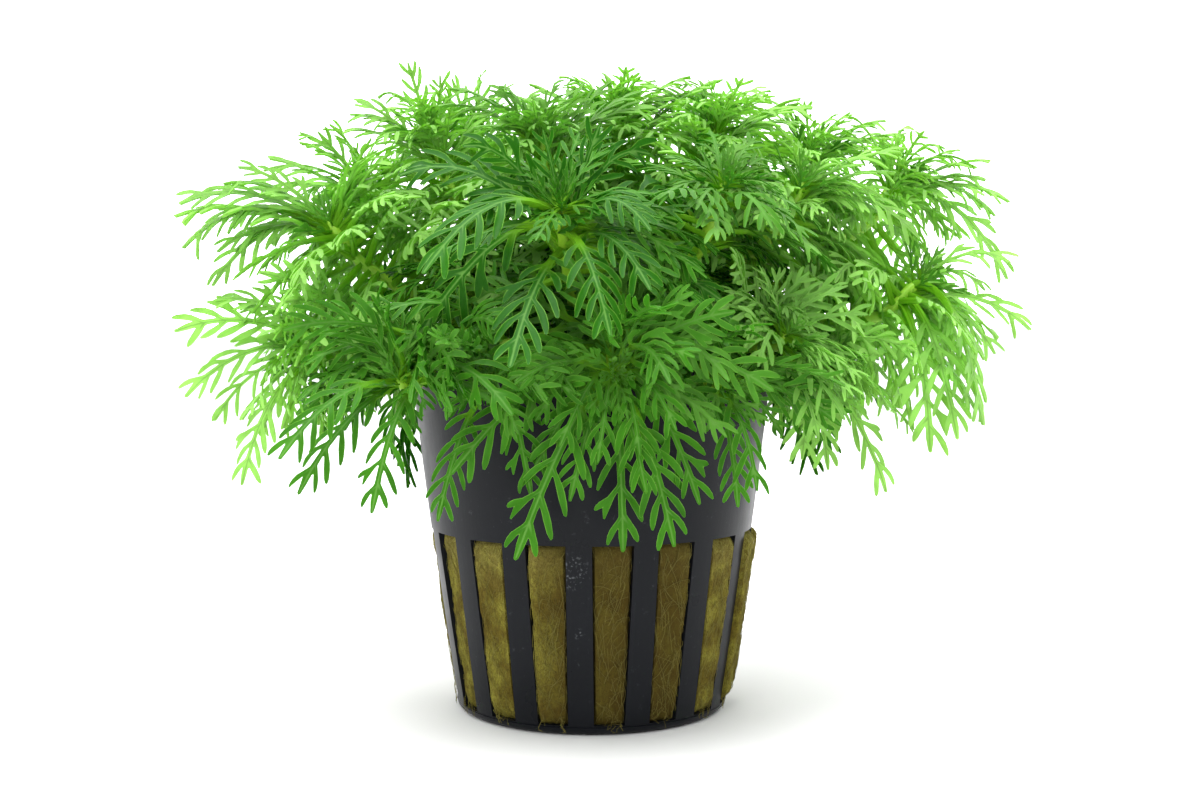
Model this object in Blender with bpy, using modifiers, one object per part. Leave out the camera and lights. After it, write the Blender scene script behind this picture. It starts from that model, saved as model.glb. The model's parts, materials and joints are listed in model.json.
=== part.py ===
"""Potted water violet in a slotted net pot.

Metres, +Z up. The origin is under the middle of the pot, on the surface that it stands on. The side that the
photograph shows faces -Y. Sizes are written in millimetres times MM.
"""

import math
from collections import namedtuple

import bmesh
import bpy
from mathutils import Matrix, Vector
from mathutils.geometry import interpolate_bezier

MM = 0.001
GAP = 0.3 * MM
WELD = 0.0001 * MM
UP = Vector((0, 0, 1))

# Net pot: a bowed cone with a thin wall, a floor and a small flange round the rim
POT_HEIGHT = 51.0 * MM
WALL = 1.0 * MM
FLOOR = 1.2 * MM
CORNER_RADIUS = 1.5 * MM
FLOOR_EDGE_RADIUS = 19.9 * MM
WALL_TAPER = 0.16
WALL_BOW = 0.55
FLANGE_WIDTH = 0.9 * MM
FLANGE_HEIGHT = 1.2 * MM
POT_SIDES = 40
WALL_LEVELS = (0.26, 0.52, 0.78)
CORNER_STEPS = 3

# Slots in the lower half of the wall, between slats of one width
SLOT_COUNT = 16
SLOT_BOTTOM = 1.4 * MM
SLOT_TOP = 26.5 * MM
SLAT_WIDTH = 3.55 * MM
FIRST_SLOT_ANGLE = math.radians(7.4)
SLOT_PITCH = 2 * math.pi / SLOT_COUNT
CUTTER_INSIDE = 17.5 * MM
CUTTER_OUTSIDE = 28.0 * MM

# Drain holes in the floor
DRAIN_COUNT = 8
DRAIN_INSIDE = 6.5 * MM
DRAIN_OUTSIDE = 15.5 * MM
DRAIN_WIDTH = 3.0 * MM

# Rock wool: how far it stands out of each slot past the wall, counted from the slot nearest the front
WOOL_TOP = 47.6 * MM
WOOL_BULGE_MM = (-0.2, 0.0, 0.3, 0.9, 1.3, 0.5, 0.0, 0.2, 0.4, 0.1, -0.1, 0.2, 0.0, -0.4, 0.1, 0.2)
WOOL_EDGE_SLOPE = 0.6 * MM

# Stems: planted in the rock wool, further in the higher their whorl is
STEM_RADIUS = 1.15 * MM
STEM_SIDES = 6
STEM_STEPS = 2
STEM_DEPTH = 4.0 * MM
SOCKET_RADIUS = STEM_RADIUS + GAP
LOWEST_HEART = 48.0 * MM
HIGHEST_HEART = 93.0 * MM
LOW_ROOT_SHARE = 0.52
HIGH_ROOT_SHARE = 0.30
OUTERMOST_ROOT = 19.0 * MM
STEM_RISE = 6.0 * MM
LOW_STEM_RISE = 2.5 * MM
CROSSING_BELOW = 60.0 * MM
RIM_CROSSING = 2.2 * MM
STEM_END_GAP = 1.2 * MM

# Leaf whorls: half ellipsoids whose flat back is WHORL_DEPTH behind the heart
WHORL_DEPTH = 6.0 * MM
WHORL_SIDES = 14
WHORL_RINGS = 6
WHORL_FLATNESS = math.radians(1)
HANGING_TILT = 90
HANGING_BACK = 29.0 * MM
CLEARANCE_STEPS = 6

# One shoot: the middle of its whorl in mm, its tilt from upright in degrees, and in mm how far its leaves
# reach to the side and to the front of the whorl's back. A shoot at HANGING_TILT stands on the pot's side.
Shoot = namedtuple("Shoot", "name heart tilt reach crown")
SHOOTS = (
    Shoot("front_high", (-4, -34, 73.5), 42, 21, 10),
    Shoot("front_low", (3.5, -37, 50), 90, 20, 13),
    Shoot("front_left", (-27, -29, 51), 55, 20, 12),
    Shoot("front_left_low", (-15, -33, 49), 90, 16, 13),
    Shoot("front_right_low", (19, -30, 48), 90, 17, 13),
    Shoot("left_high", (-40, -6, 73.5), 40, 27, 15),
    Shoot("left_low", (-45, -8, 54), 62, 19, 19),
    Shoot("left_back_high", (-37, 17, 80), 35, 18, 9),
    Shoot("top_left", (-25, 7, 88), 18, 16, 12),
    Shoot("top_left_back", (-20, 27, 90), 25, 16, 9),
    Shoot("top_front", (-8, -8, 86), 12, 17, 9),
    Shoot("top", (4, 10, 91), 8, 17, 9),
    Shoot("top_right", (20, 8, 90), 15, 16, 9),
    Shoot("top_right_back", (20, 28, 90), 25, 16, 9),
    Shoot("right_front_high", (19, -22, 78), 28, 18, 9),
    Shoot("right_high", (32, -8, 79), 32, 19, 9),
    Shoot("right_front", (28.5, -22, 57), 50, 19, 9),
    Shoot("right_low", (38, -8, 52), 65, 20, 11),
    Shoot("right", (52, 3, 65), 50, 25, 12),
    Shoot("right_back_high", (37, 28, 87), 30, 17, 9),
    Shoot("right_back", (50, 18, 82), 35, 22, 14),
    Shoot("inner_left", (-20, -14, 67), 30, 14, 9),
    Shoot("inner_right", (15, -11, 66), 30, 14, 9),
    Shoot("back_left", (-38, 30, 60), 55, 19, 11),
    Shoot("back_left_low", (-15, 35, 50), 90, 17, 13),
    Shoot("back_right_low", (12, 36, 50), 90, 17, 13),
    Shoot("back_right", (36, 32, 60), 55, 19, 11),
    Shoot("back_high", (0, 36, 75), 42, 19, 10),
)

# Plain colours (linear) and roughness of the four materials
SLATE_PLASTIC = ((0.055, 0.062, 0.068), 0.35)
OLIVE_ROCK_WOOL = ((0.16, 0.12, 0.035), 0.95)
PALE_STEM_GREEN = ((0.30, 0.42, 0.05), 0.45)
LEAF_GREEN = ((0.10, 0.28, 0.04), 0.50)


def clear_scene():
    """Remove the objects that a new Blender file starts with."""
    for old in list(bpy.data.objects):
        bpy.data.objects.remove(old, do_unlink=True)


def new_collection(name):
    """Make a collection in the scene."""
    collection = bpy.data.collections.new(name)
    bpy.context.scene.collection.children.link(collection)
    return collection


def new_material(name, colour, roughness):
    """Make a plain Principled material."""
    material = bpy.data.materials.new(name)
    material.use_nodes = True
    shader = material.node_tree.nodes["Principled BSDF"]
    shader.inputs["Base Color"].default_value = (*colour, 1.0)
    shader.inputs["Roughness"].default_value = roughness
    shader.inputs["Metallic"].default_value = 0.0
    return material


def add_object(name, data, material, collection):
    """Put a mesh or curve in a collection as a named object."""
    item = bpy.data.objects.new(name, data)
    item.data.materials.append(material)
    collection.objects.link(item)
    return item


def mesh_from(name, shape):
    """Turn a bmesh into a mesh and free it."""
    mesh = bpy.data.meshes.new(name)
    shape.to_mesh(mesh)
    shape.free()
    return mesh


def around(angle, radius, height):
    """Point at an angle from the front (-Y) towards +X."""
    return Vector((radius * math.sin(angle), -radius * math.cos(angle), height))


def outer_radius(height):
    """Radius of the pot's outer wall above the rounded bottom corner."""
    rise = height - CORNER_RADIUS
    return FLOOR_EDGE_RADIUS + WALL_TAPER * rise - WALL_BOW * rise * rise


def inner_radius(height):
    """Radius of the pot's inner wall."""
    return outer_radius(height) - WALL


def slot_half_width(height):
    """Half the width of a slot: what the slats leave free on the outer wall."""
    return (SLOT_PITCH * outer_radius(height) - SLAT_WIDTH) / 2


def pot_profile():
    """Radius and height from the floor's middle up the inside, over the rim and down the outside."""
    levels = [share * POT_HEIGHT for share in WALL_LEVELS]
    inside = [(0.0, FLOOR), (inner_radius(FLOOR), FLOOR)]
    inside += [(inner_radius(level), level) for level in levels]
    rim_radius = outer_radius(POT_HEIGHT)
    under_flange = POT_HEIGHT - FLANGE_HEIGHT
    rim = [
        (rim_radius - WALL, POT_HEIGHT),
        (rim_radius + FLANGE_WIDTH, POT_HEIGHT),
        (rim_radius + FLANGE_WIDTH, under_flange),
        (outer_radius(under_flange - WALL / 2), under_flange - WALL / 2),
    ]
    outside = [(outer_radius(level), level) for level in reversed(levels)]
    corner = []
    for step in range(CORNER_STEPS + 1):
        turn = math.pi / 2 * step / CORNER_STEPS
        radius = FLOOR_EDGE_RADIUS - CORNER_RADIUS * (1 - math.cos(turn))
        corner.append((radius, CORNER_RADIUS * (1 - math.sin(turn))))
    return inside + rim + outside + corner + [(0.0, 0.0)]


def turned_mesh_object(name, profile, sides, material, collection):
    """Turn a profile in the XZ plane round the Z axis with a Screw modifier."""
    mesh = bpy.data.meshes.new(name)
    points = [(radius, 0.0, height) for radius, height in profile]
    edges = [(index, index + 1) for index in range(len(points) - 1)]
    mesh.from_pydata(points, edges, [])
    item = add_object(name, mesh, material, collection)
    screw = item.modifiers.new("turned", "SCREW")
    screw.steps = sides
    screw.render_steps = sides
    screw.use_merge_vertices = True
    screw.merge_threshold = 0.0001
    return item


def add_box(shape, low, high, top_half_width, bottom_half_width, angle):
    """Add a box across a radius: from low to high in (radius, height), with its own width at each end."""
    box = bmesh.ops.create_cube(shape, size=1.0)["verts"]
    for corner in box:
        half_width = top_half_width if corner.co.z > 0 else bottom_half_width
        side = half_width if corner.co.x > 0 else -half_width
        radius = high[0] if corner.co.y < 0 else low[0]
        height = high[1] if corner.co.z > 0 else low[1]
        corner.co = Vector((side, -radius, height))
    bmesh.ops.rotate(shape, verts=box, cent=(0, 0, 0), matrix=Matrix.Rotation(angle, 3, "Z"))


def pot_cutter(material, collection):
    """Cutter for the wall's slots and the floor's drain holes."""
    shape = bmesh.new()
    for index in range(SLOT_COUNT):
        low = (CUTTER_INSIDE, SLOT_BOTTOM)
        high = (CUTTER_OUTSIDE, SLOT_TOP)
        angle = FIRST_SLOT_ANGLE + SLOT_PITCH * index
        add_box(shape, low, high, slot_half_width(SLOT_TOP), slot_half_width(SLOT_BOTTOM), angle)
    for index in range(DRAIN_COUNT):
        low = (DRAIN_INSIDE, -FLOOR)
        high = (DRAIN_OUTSIDE, 2 * FLOOR)
        angle = FIRST_SLOT_ANGLE + 2 * math.pi * index / DRAIN_COUNT
        add_box(shape, low, high, DRAIN_WIDTH / 2, DRAIN_WIDTH / 2, angle)
    cutter = add_object("slot_cutter", mesh_from("slot_cutter", shape), material, collection)
    cutter.hide_render = True
    cutter.display_type = "WIRE"
    return cutter


def make_pot(material, collection, cutters):
    """The net pot, one moulding."""
    pot = turned_mesh_object("pot", pot_profile(), POT_SIDES, material, collection)
    slots = pot.modifiers.new("slots", "BOOLEAN")
    slots.operation = "DIFFERENCE"
    slots.solver = "EXACT"
    slots.object = pot_cutter(material, cutters)
    return pot


def wool_ring(shape, height, pressed):
    """One ring of the plug's points, pressed out into the slots where pressed is true."""
    inside = inner_radius(height) - GAP
    ring = []
    for index in range(SLOT_COUNT):
        middle = FIRST_SLOT_ANGLE + SLOT_PITCH * index
        half_angle = (slot_half_width(height) - GAP) / outer_radius(height)
        slope_angle = WOOL_EDGE_SLOPE / outer_radius(height)
        bulge = outer_radius(height) + WOOL_BULGE_MM[index] * MM if pressed else inside
        flank = min(bulge, outer_radius(height) - GAP)
        ring.append(around(middle - half_angle, inside, height))
        ring.append(around(middle - half_angle + slope_angle, flank, height))
        ring.append(around(middle, bulge, height))
        ring.append(around(middle + half_angle - slope_angle, flank, height))
        ring.append(around(middle + half_angle, inside, height))
    return [shape.verts.new(point) for point in ring]


def make_wool(material, collection):
    """The rock wool plug: a loft of rings, closed by a flat bottom and top."""
    shape = bmesh.new()
    pressed_from = SLOT_BOTTOM + 2 * GAP
    pressed_to = SLOT_TOP - 4 * GAP
    levels = (
        (FLOOR + GAP, False),
        (pressed_from, True),
        ((pressed_from + pressed_to) / 2, True),
        (pressed_to, True),
        (SLOT_TOP - GAP, False),
        (WOOL_TOP, False),
    )
    rings = [wool_ring(shape, height, pressed) for height, pressed in levels]
    count = len(rings[0])
    for lower, upper in zip(rings, rings[1:]):
        for index in range(count):
            after = (index + 1) % count
            shape.faces.new((lower[index], lower[after], upper[after], upper[index]))
    shape.faces.new(list(reversed(rings[0])))
    shape.faces.new(rings[-1])
    return add_object("rock_wool", mesh_from("rock_wool", shape), material, collection)


def outward(shoot):
    """Level unit direction from the pot's axis to a shoot's heart."""
    return Vector((shoot.heart[0], shoot.heart[1], 0)).normalized()


def heart(shoot):
    """The middle of a shoot's whorl, in metres."""
    return Vector(shoot.heart) * MM


def tip_axis(shoot):
    """Direction in which the tip of a shoot points."""
    tilt = math.radians(shoot.tilt)
    return UP * math.cos(tilt) + outward(shoot) * math.sin(tilt)


def is_hanging(shoot):
    """Whether a shoot hangs over the rim, with its whorl on the pot's side."""
    return shoot.tilt == HANGING_TILT


def whorl_base(shoot):
    """Middle of the flat back of a whorl's solid, where the stem ends."""
    if is_hanging(shoot):
        return outward(shoot) * HANGING_BACK + UP * (heart(shoot).z - WHORL_DEPTH)
    return heart(shoot) - tip_axis(shoot) * WHORL_DEPTH


def root_point(shoot):
    """Where a stem leaves the rock wool: high shoots stand further in than low ones."""
    middle = heart(shoot)
    height_share = (middle.z - LOWEST_HEART) / (HIGHEST_HEART - LOWEST_HEART)
    root_share = LOW_ROOT_SHARE + (HIGH_ROOT_SHARE - LOW_ROOT_SHARE) * height_share
    return outward(shoot) * min(OUTERMOST_ROOT, middle.xy.length * root_share) + UP * WOOL_TOP


def stem_controls(shoot):
    """The few points that a stem's route goes through, from its foot to its end under the whorl."""
    root = root_point(shoot)
    foot = [root - UP * STEM_DEPTH, root]
    over_rim = outward(shoot) * outer_radius(POT_HEIGHT) + UP * (POT_HEIGHT + RIM_CROSSING)
    if is_hanging(shoot):
        end = outward(shoot) * (HANGING_BACK - GAP) + UP * over_rim.z
        return foot + [root + UP * LOW_STEM_RISE, over_rim, end]
    end = whorl_base(shoot) - tip_axis(shoot) * STEM_END_GAP
    if heart(shoot).z < CROSSING_BELOW:
        return foot + [root + UP * LOW_STEM_RISE, over_rim, end]
    return foot + [root + UP * STEM_RISE, end - tip_axis(shoot) * STEM_RISE, end]


def smooth_route(controls, steps):
    """Points along a smooth curve through the controls, some steps for each stretch."""
    ends = [2 * controls[0] - controls[1], *controls, 2 * controls[-1] - controls[-2]]
    route = [controls[0]]
    for before, start, end, after in zip(ends, ends[1:], ends[2:], ends[3:]):
        handle_length = (end - start).length / 3
        leaving = start + (end - before).normalized() * handle_length
        arriving = end - (after - start).normalized() * handle_length
        route += interpolate_bezier(start, leaving, arriving, end, steps + 1)[1:]
    return route


def make_stem(shoot, material, collection):
    """A stem: one tube from the rock wool to the back of its whorl."""
    curve = bpy.data.curves.new("stem_" + shoot.name, "CURVE")
    curve.dimensions = "3D"
    curve.bevel_depth = STEM_RADIUS
    curve.bevel_resolution = (STEM_SIDES - 4) // 2
    curve.use_fill_caps = True
    controls = stem_controls(shoot)
    route = [controls[0]] + smooth_route(controls[1:], STEM_STEPS)
    line = curve.splines.new("POLY")
    line.points.add(len(route) - 1)
    for point, place in zip(line.points, route):
        point.co = (*place, 1.0)
    return add_object("stem_" + shoot.name, curve, material, collection)


def cut_off(shape, place, normal):
    """Cut a convex shape by a plane, drop what is beyond it and close the cut."""
    everything = shape.verts[:] + shape.edges[:] + shape.faces[:]
    bmesh.ops.bisect_plane(shape, geom=everything, dist=WELD, plane_co=place, plane_no=normal, clear_outer=True)
    open_edges = [edge for edge in shape.edges if edge.is_boundary]
    if open_edges:
        bmesh.ops.edgenet_fill(shape, edges=open_edges)


def whorl_shape(shoot):
    """Half an ellipsoid on the shoot's axis, as wide as the leaves reach."""
    shape = bmesh.new()
    bmesh.ops.create_uvsphere(shape, u_segments=WHORL_SIDES, v_segments=WHORL_RINGS, radius=1.0)
    cut_off(shape, Vector((0, 0, 0)), Vector((0, 0, -1)))
    size = Matrix.Diagonal((shoot.reach * MM, shoot.reach * MM, shoot.crown * MM, 1.0))
    turn = tip_axis(shoot).to_track_quat("Z", "Y").to_matrix().to_4x4()
    bmesh.ops.transform(shape, matrix=Matrix.Translation(whorl_base(shoot)) @ turn @ size, verts=shape.verts)
    return shape


def keep_clear_of_neighbours(shape, shoot):
    """Cut a whorl halfway to each whorl near it."""
    middle = whorl_base(shoot)
    for other in SHOOTS:
        between = whorl_base(other) - middle
        near = (shoot.reach + other.reach) * MM
        if other is shoot or between.length > near:
            continue
        place = middle + between / 2 - between.normalized() * GAP / 2
        cut_off(shape, place, between)


def is_inside(shape, point, margin):
    """Whether a point is within a convex shape or less than margin from it."""
    return all((point - face.calc_center_median()).dot(face.normal) < margin for face in shape.faces)


def keep_clear_of_stems(shape, shoot):
    """Cut a whorl back where another shoot's stem passes through it."""
    middle = whorl_base(shoot) + tip_axis(shoot) * STEM_RADIUS
    margin = STEM_RADIUS + GAP
    for other in SHOOTS:
        if other is shoot:
            continue
        route = smooth_route(stem_controls(other), CLEARANCE_STEPS)
        for point, following in zip(route, route[1:]):
            shape.normal_update()
            if not is_inside(shape, point, margin):
                continue
            along = (following - point).normalized()
            away = point - middle
            away -= along * away.dot(along)
            cut_off(shape, point - away.normalized() * margin, away)


def make_whorl(shoot, material, collection):
    """The closed solid that stands for the leaves of one shoot and reaches their tips."""
    shape = whorl_shape(shoot)
    keep_clear_of_neighbours(shape, shoot)
    keep_clear_of_stems(shape, shoot)
    bmesh.ops.dissolve_limit(shape, angle_limit=WHORL_FLATNESS, verts=shape.verts, edges=shape.edges)
    bmesh.ops.recalc_face_normals(shape, faces=shape.faces)
    return add_object("leaves_" + shoot.name, mesh_from("leaves_" + shoot.name, shape), material, collection)


def cut_sockets(wool, material, cutters):
    """Cut a socket in the rock wool for each stem."""
    shape = bmesh.new()
    for shoot in SHOOTS:
        place = Matrix.Translation(root_point(shoot))
        bmesh.ops.create_cone(
            shape,
            cap_ends=True,
            segments=STEM_SIDES,
            radius1=SOCKET_RADIUS,
            radius2=SOCKET_RADIUS,
            depth=2 * (STEM_DEPTH + GAP),
            matrix=place,
        )
    cutter = add_object("socket_cutter", mesh_from("socket_cutter", shape), material, cutters)
    cutter.hide_render = True
    cutter.display_type = "WIRE"
    sockets = wool.modifiers.new("sockets", "BOOLEAN")
    sockets.operation = "DIFFERENCE"
    sockets.solver = "EXACT"
    sockets.object = cutter


def main():
    """Build the pot, the rock wool and every shoot."""
    clear_scene()
    parts = new_collection("potted_water_violet")
    cutters = new_collection("cutters")
    plastic = new_material("slate_plastic", *SLATE_PLASTIC)
    fibre = new_material("olive_rock_wool", *OLIVE_ROCK_WOOL)
    stem_green = new_material("pale_stem_green", *PALE_STEM_GREEN)
    leaf_green = new_material("leaf_green", *LEAF_GREEN)
    make_pot(plastic, parts, cutters)
    wool = make_wool(fibre, parts)
    cut_sockets(wool, fibre, cutters)
    for shoot in SHOOTS:
        make_stem(shoot, stem_green, parts)
        make_whorl(shoot, leaf_green, parts)


main()
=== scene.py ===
"""Looks of the potted water violet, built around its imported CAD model.

Metres, +Z up, in the CAD model's own frame: the origin is under the middle of the pot, on the surface that it
stands on, and the side that the photograph shows faces -Y. Sizes are written in millimetres times MM.
"""

import json
import math
import random
from collections import Counter, namedtuple

import bmesh
import bpy
import numpy as np
from bpy.props import FloatProperty, FloatVectorProperty, IntProperty, PointerProperty
from mathutils import Matrix, Vector, noise
from mathutils.geometry import delaunay_2d_cdt, interpolate_bezier

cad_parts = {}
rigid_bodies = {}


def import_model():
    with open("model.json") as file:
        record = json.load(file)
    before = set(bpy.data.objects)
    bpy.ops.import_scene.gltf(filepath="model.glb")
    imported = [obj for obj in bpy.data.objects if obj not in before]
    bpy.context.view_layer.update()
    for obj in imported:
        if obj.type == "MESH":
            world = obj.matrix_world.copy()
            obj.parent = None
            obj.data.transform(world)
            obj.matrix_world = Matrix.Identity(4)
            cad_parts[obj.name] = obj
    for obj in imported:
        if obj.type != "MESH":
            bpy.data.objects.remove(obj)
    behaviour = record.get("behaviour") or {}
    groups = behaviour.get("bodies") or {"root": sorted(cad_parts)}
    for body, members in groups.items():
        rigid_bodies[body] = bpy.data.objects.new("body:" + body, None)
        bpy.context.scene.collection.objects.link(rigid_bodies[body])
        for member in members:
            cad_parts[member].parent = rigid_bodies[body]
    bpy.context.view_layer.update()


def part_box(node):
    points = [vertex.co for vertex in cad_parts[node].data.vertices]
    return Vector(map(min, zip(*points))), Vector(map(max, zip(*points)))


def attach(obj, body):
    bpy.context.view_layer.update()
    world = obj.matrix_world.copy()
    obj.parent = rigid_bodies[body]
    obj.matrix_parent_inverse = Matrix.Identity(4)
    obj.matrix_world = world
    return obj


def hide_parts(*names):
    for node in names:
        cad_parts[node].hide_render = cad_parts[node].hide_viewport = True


bl_info = {
    "name": "Potted Water Violet",
    "version": (1, 0, 0),
    "blender": (4, 5, 0),
    "location": "3D View > Sidebar > Water Violet",
    "description": "Builds a water violet in its slotted net pot around the CAD model",
    "category": "Add Mesh",
}

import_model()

MM = 0.001
UP = Vector((0, 0, 1))
RIGHT = Vector((1, 0, 0))
AWAY = Vector((0, 1, 0))
BODY = "root"

# Camera, solved from the pot's outline: the photograph's size and the focal length are in pixels
PHOTO_WIDTH = 1200
PHOTO_HEIGHT = 800
FOCAL_PIXELS = 1527
CAMERA_PLACE = Vector((1.25, -225, 55.5)) * MM
CAMERA_PITCH = math.radians(2.7)
SENSOR_WIDTH_MM = 36
CAMERA_CLIP = (10 * MM, 1000.0)

# Net pot, as in the CAD model
POT_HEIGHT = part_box("pot")[1].z
WALL = 1.0 * MM
FLOOR = 1.2 * MM
CORNER_RADIUS = 1.5 * MM
FLOOR_EDGE_RADIUS = 19.9 * MM
WALL_TAPER = 0.16
WALL_BOW = 0.55
FLANGE_WIDTH = 0.9 * MM
FLANGE_HEIGHT = 1.2 * MM
SLOT_COUNT = 16
SLOT_BOTTOM = 1.4 * MM
SLOT_TOP = 26.5 * MM
SLAT_WIDTH = 3.55 * MM
FIRST_SLOT_ANGLE = math.radians(7.4)
SLOT_PITCH = 2 * math.pi / SLOT_COUNT
DRAIN_INSIDE = 6.5 * MM
DRAIN_OUTSIDE = 15.5 * MM
DRAIN_HALF_WIDTH = 1.5 * MM

# Scuffed places on the pot, each with how far it reaches, and the share of that in which it is full
SCUFFED_SPOTS = (
    (Vector((-2.6, -23.2, 23)) * MM, 3.2 * MM),
    (Vector((-1.6, -21.6, 14.5)) * MM, 1.0 * MM),
    (Vector((19.8, -15.5, 35)) * MM, 2.5 * MM),
)
SCUFF_CORE = 0.4
# The age at which a leaf is no longer fresh green, and how much less light comes through old ones
FULL_COLOUR_AGE = 0.6
OLD_SEE_THROUGH = 0.72
# The spot round which the rock wool is darkest, in a space squeezed upright by the last factor, how far its
# darkening reaches, and the heights between which the wool turns drier and greyer
DARK_SPOT_SHAPE = (1.0, 1.0, 0.3)
DARK_SPOT = Vector((5, -21, 4)) * MM
DARK_SPOT_REACH = (7 * MM, 15 * MM)
DRY_HEIGHTS = (18 * MM, 27 * MM)
# Rock wool, as in the CAD model: how far it stands out of each slot, counted from the slot nearest the front
WOOL_TOP = 47.6 * MM
WOOL_BULGE_MM = (-0.2, 0.0, 0.3, 0.9, 1.3, 0.5, 0.0, 0.2, 0.4, 0.1, -0.1, 0.2, 0.0, -0.4, 0.1, 0.2)

# Stems, as in the CAD model
LOWEST_HEART = 48.0 * MM
HIGHEST_HEART = 93.0 * MM
ROOT_SHARES = (0.52, 0.30)
OUTERMOST_ROOT = 19.0 * MM
STEM_DEPTH = 4.0 * MM
STEM_RISE = 6.0 * MM
LOW_STEM_RISE = 2.5 * MM
CROSSING_BELOW = 60.0 * MM
RIM_CROSSING = 2.2 * MM
HANGING_TILT = 90
WHORL_DEPTH = 6.0 * MM
ROUTE_STEPS = 10
HEART_RISE = 3.5 * MM
STALK_SIDES = 12
NECK_SHARE = 0.15
NECK_THINNING = 0.55

# One shoot: the heart of its whorl in mm, its tilt from upright in degrees, how many leaves it has round its
# youngest ones, their full length in mm, and their age from 0 (fresh and yellowish) to 1 (dark). The age also
# paints light and shade: shoots at the sides and top are set young and light as painted backlight, and those
# in front and inside, and the back_ ones, old and dark as painted shade.
Shoot = namedtuple("Shoot", "name heart tilt leaves length age")
SHOOTS = (
    Shoot("front_high", (-4, -34, 73.5), 42, 38, 25, 0.97),
    Shoot("front_low", (3.5, -37, 50), 90, 26, 23, 0.6),
    Shoot("front_left", (-27, -29, 51), 55, 34, 23, 0.6),
    Shoot("front_left_low", (-15, -33, 49), 90, 18, 20, 0.62),
    Shoot("front_right_low", (19, -30, 48), 90, 20, 21, 0.58),
    Shoot("left_high", (-40, -6, 73.5), 40, 56, 24, 0.18),
    Shoot("left_low", (-45, -8, 54), 62, 38, 22, 0.12),
    Shoot("left_back_high", (-37, 17, 80), 35, 56, 22, 0.16),
    Shoot("top_left", (-25, 7, 88), 18, 64, 20, 0.15),
    Shoot("top_left_back", (-20, 27, 90), 25, 56, 20, 0.15),
    Shoot("top_front", (-8, -8, 86), 12, 66, 22, 0.32),
    Shoot("top", (4, 10, 91), 8, 66, 22, 0.13),
    Shoot("top_right", (20, 8, 90), 15, 66, 22, 0.12),
    Shoot("top_right_back", (20, 28, 90), 25, 56, 20, 0.1),
    Shoot("right_front_high", (19, -22, 78), 28, 56, 23, 0.54),
    Shoot("right_high", (32, -8, 79), 32, 60, 24, 0.12),
    Shoot("right_front", (28.5, -22, 57), 50, 50, 22, 0.29),
    Shoot("right_low", (38, -8, 52), 65, 36, 23, 0.05),
    Shoot("right", (52, 3, 65), 50, 52, 25, 0.07),
    Shoot("right_back_high", (37, 28, 87), 30, 56, 21, 0.08),
    Shoot("right_back", (50, 18, 82), 35, 50, 23, 0.1),
    Shoot("inner_left", (-20, -14, 67), 30, 50, 20, 0.95),
    Shoot("inner_right", (15, -11, 66), 30, 50, 20, 1.0),
    Shoot("back_left", (-38, 30, 60), 55, 42, 22, 0.85),
    Shoot("back_left_low", (-15, 35, 50), 90, 34, 22, 0.75),
    Shoot("back_right_low", (12, 36, 50), 90, 34, 22, 0.75),
    Shoot("back_right", (36, 32, 60), 55, 42, 22, 0.8),
    Shoot("back_high", (0, 36, 75), 42, 46, 24, 0.85),
)

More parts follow.
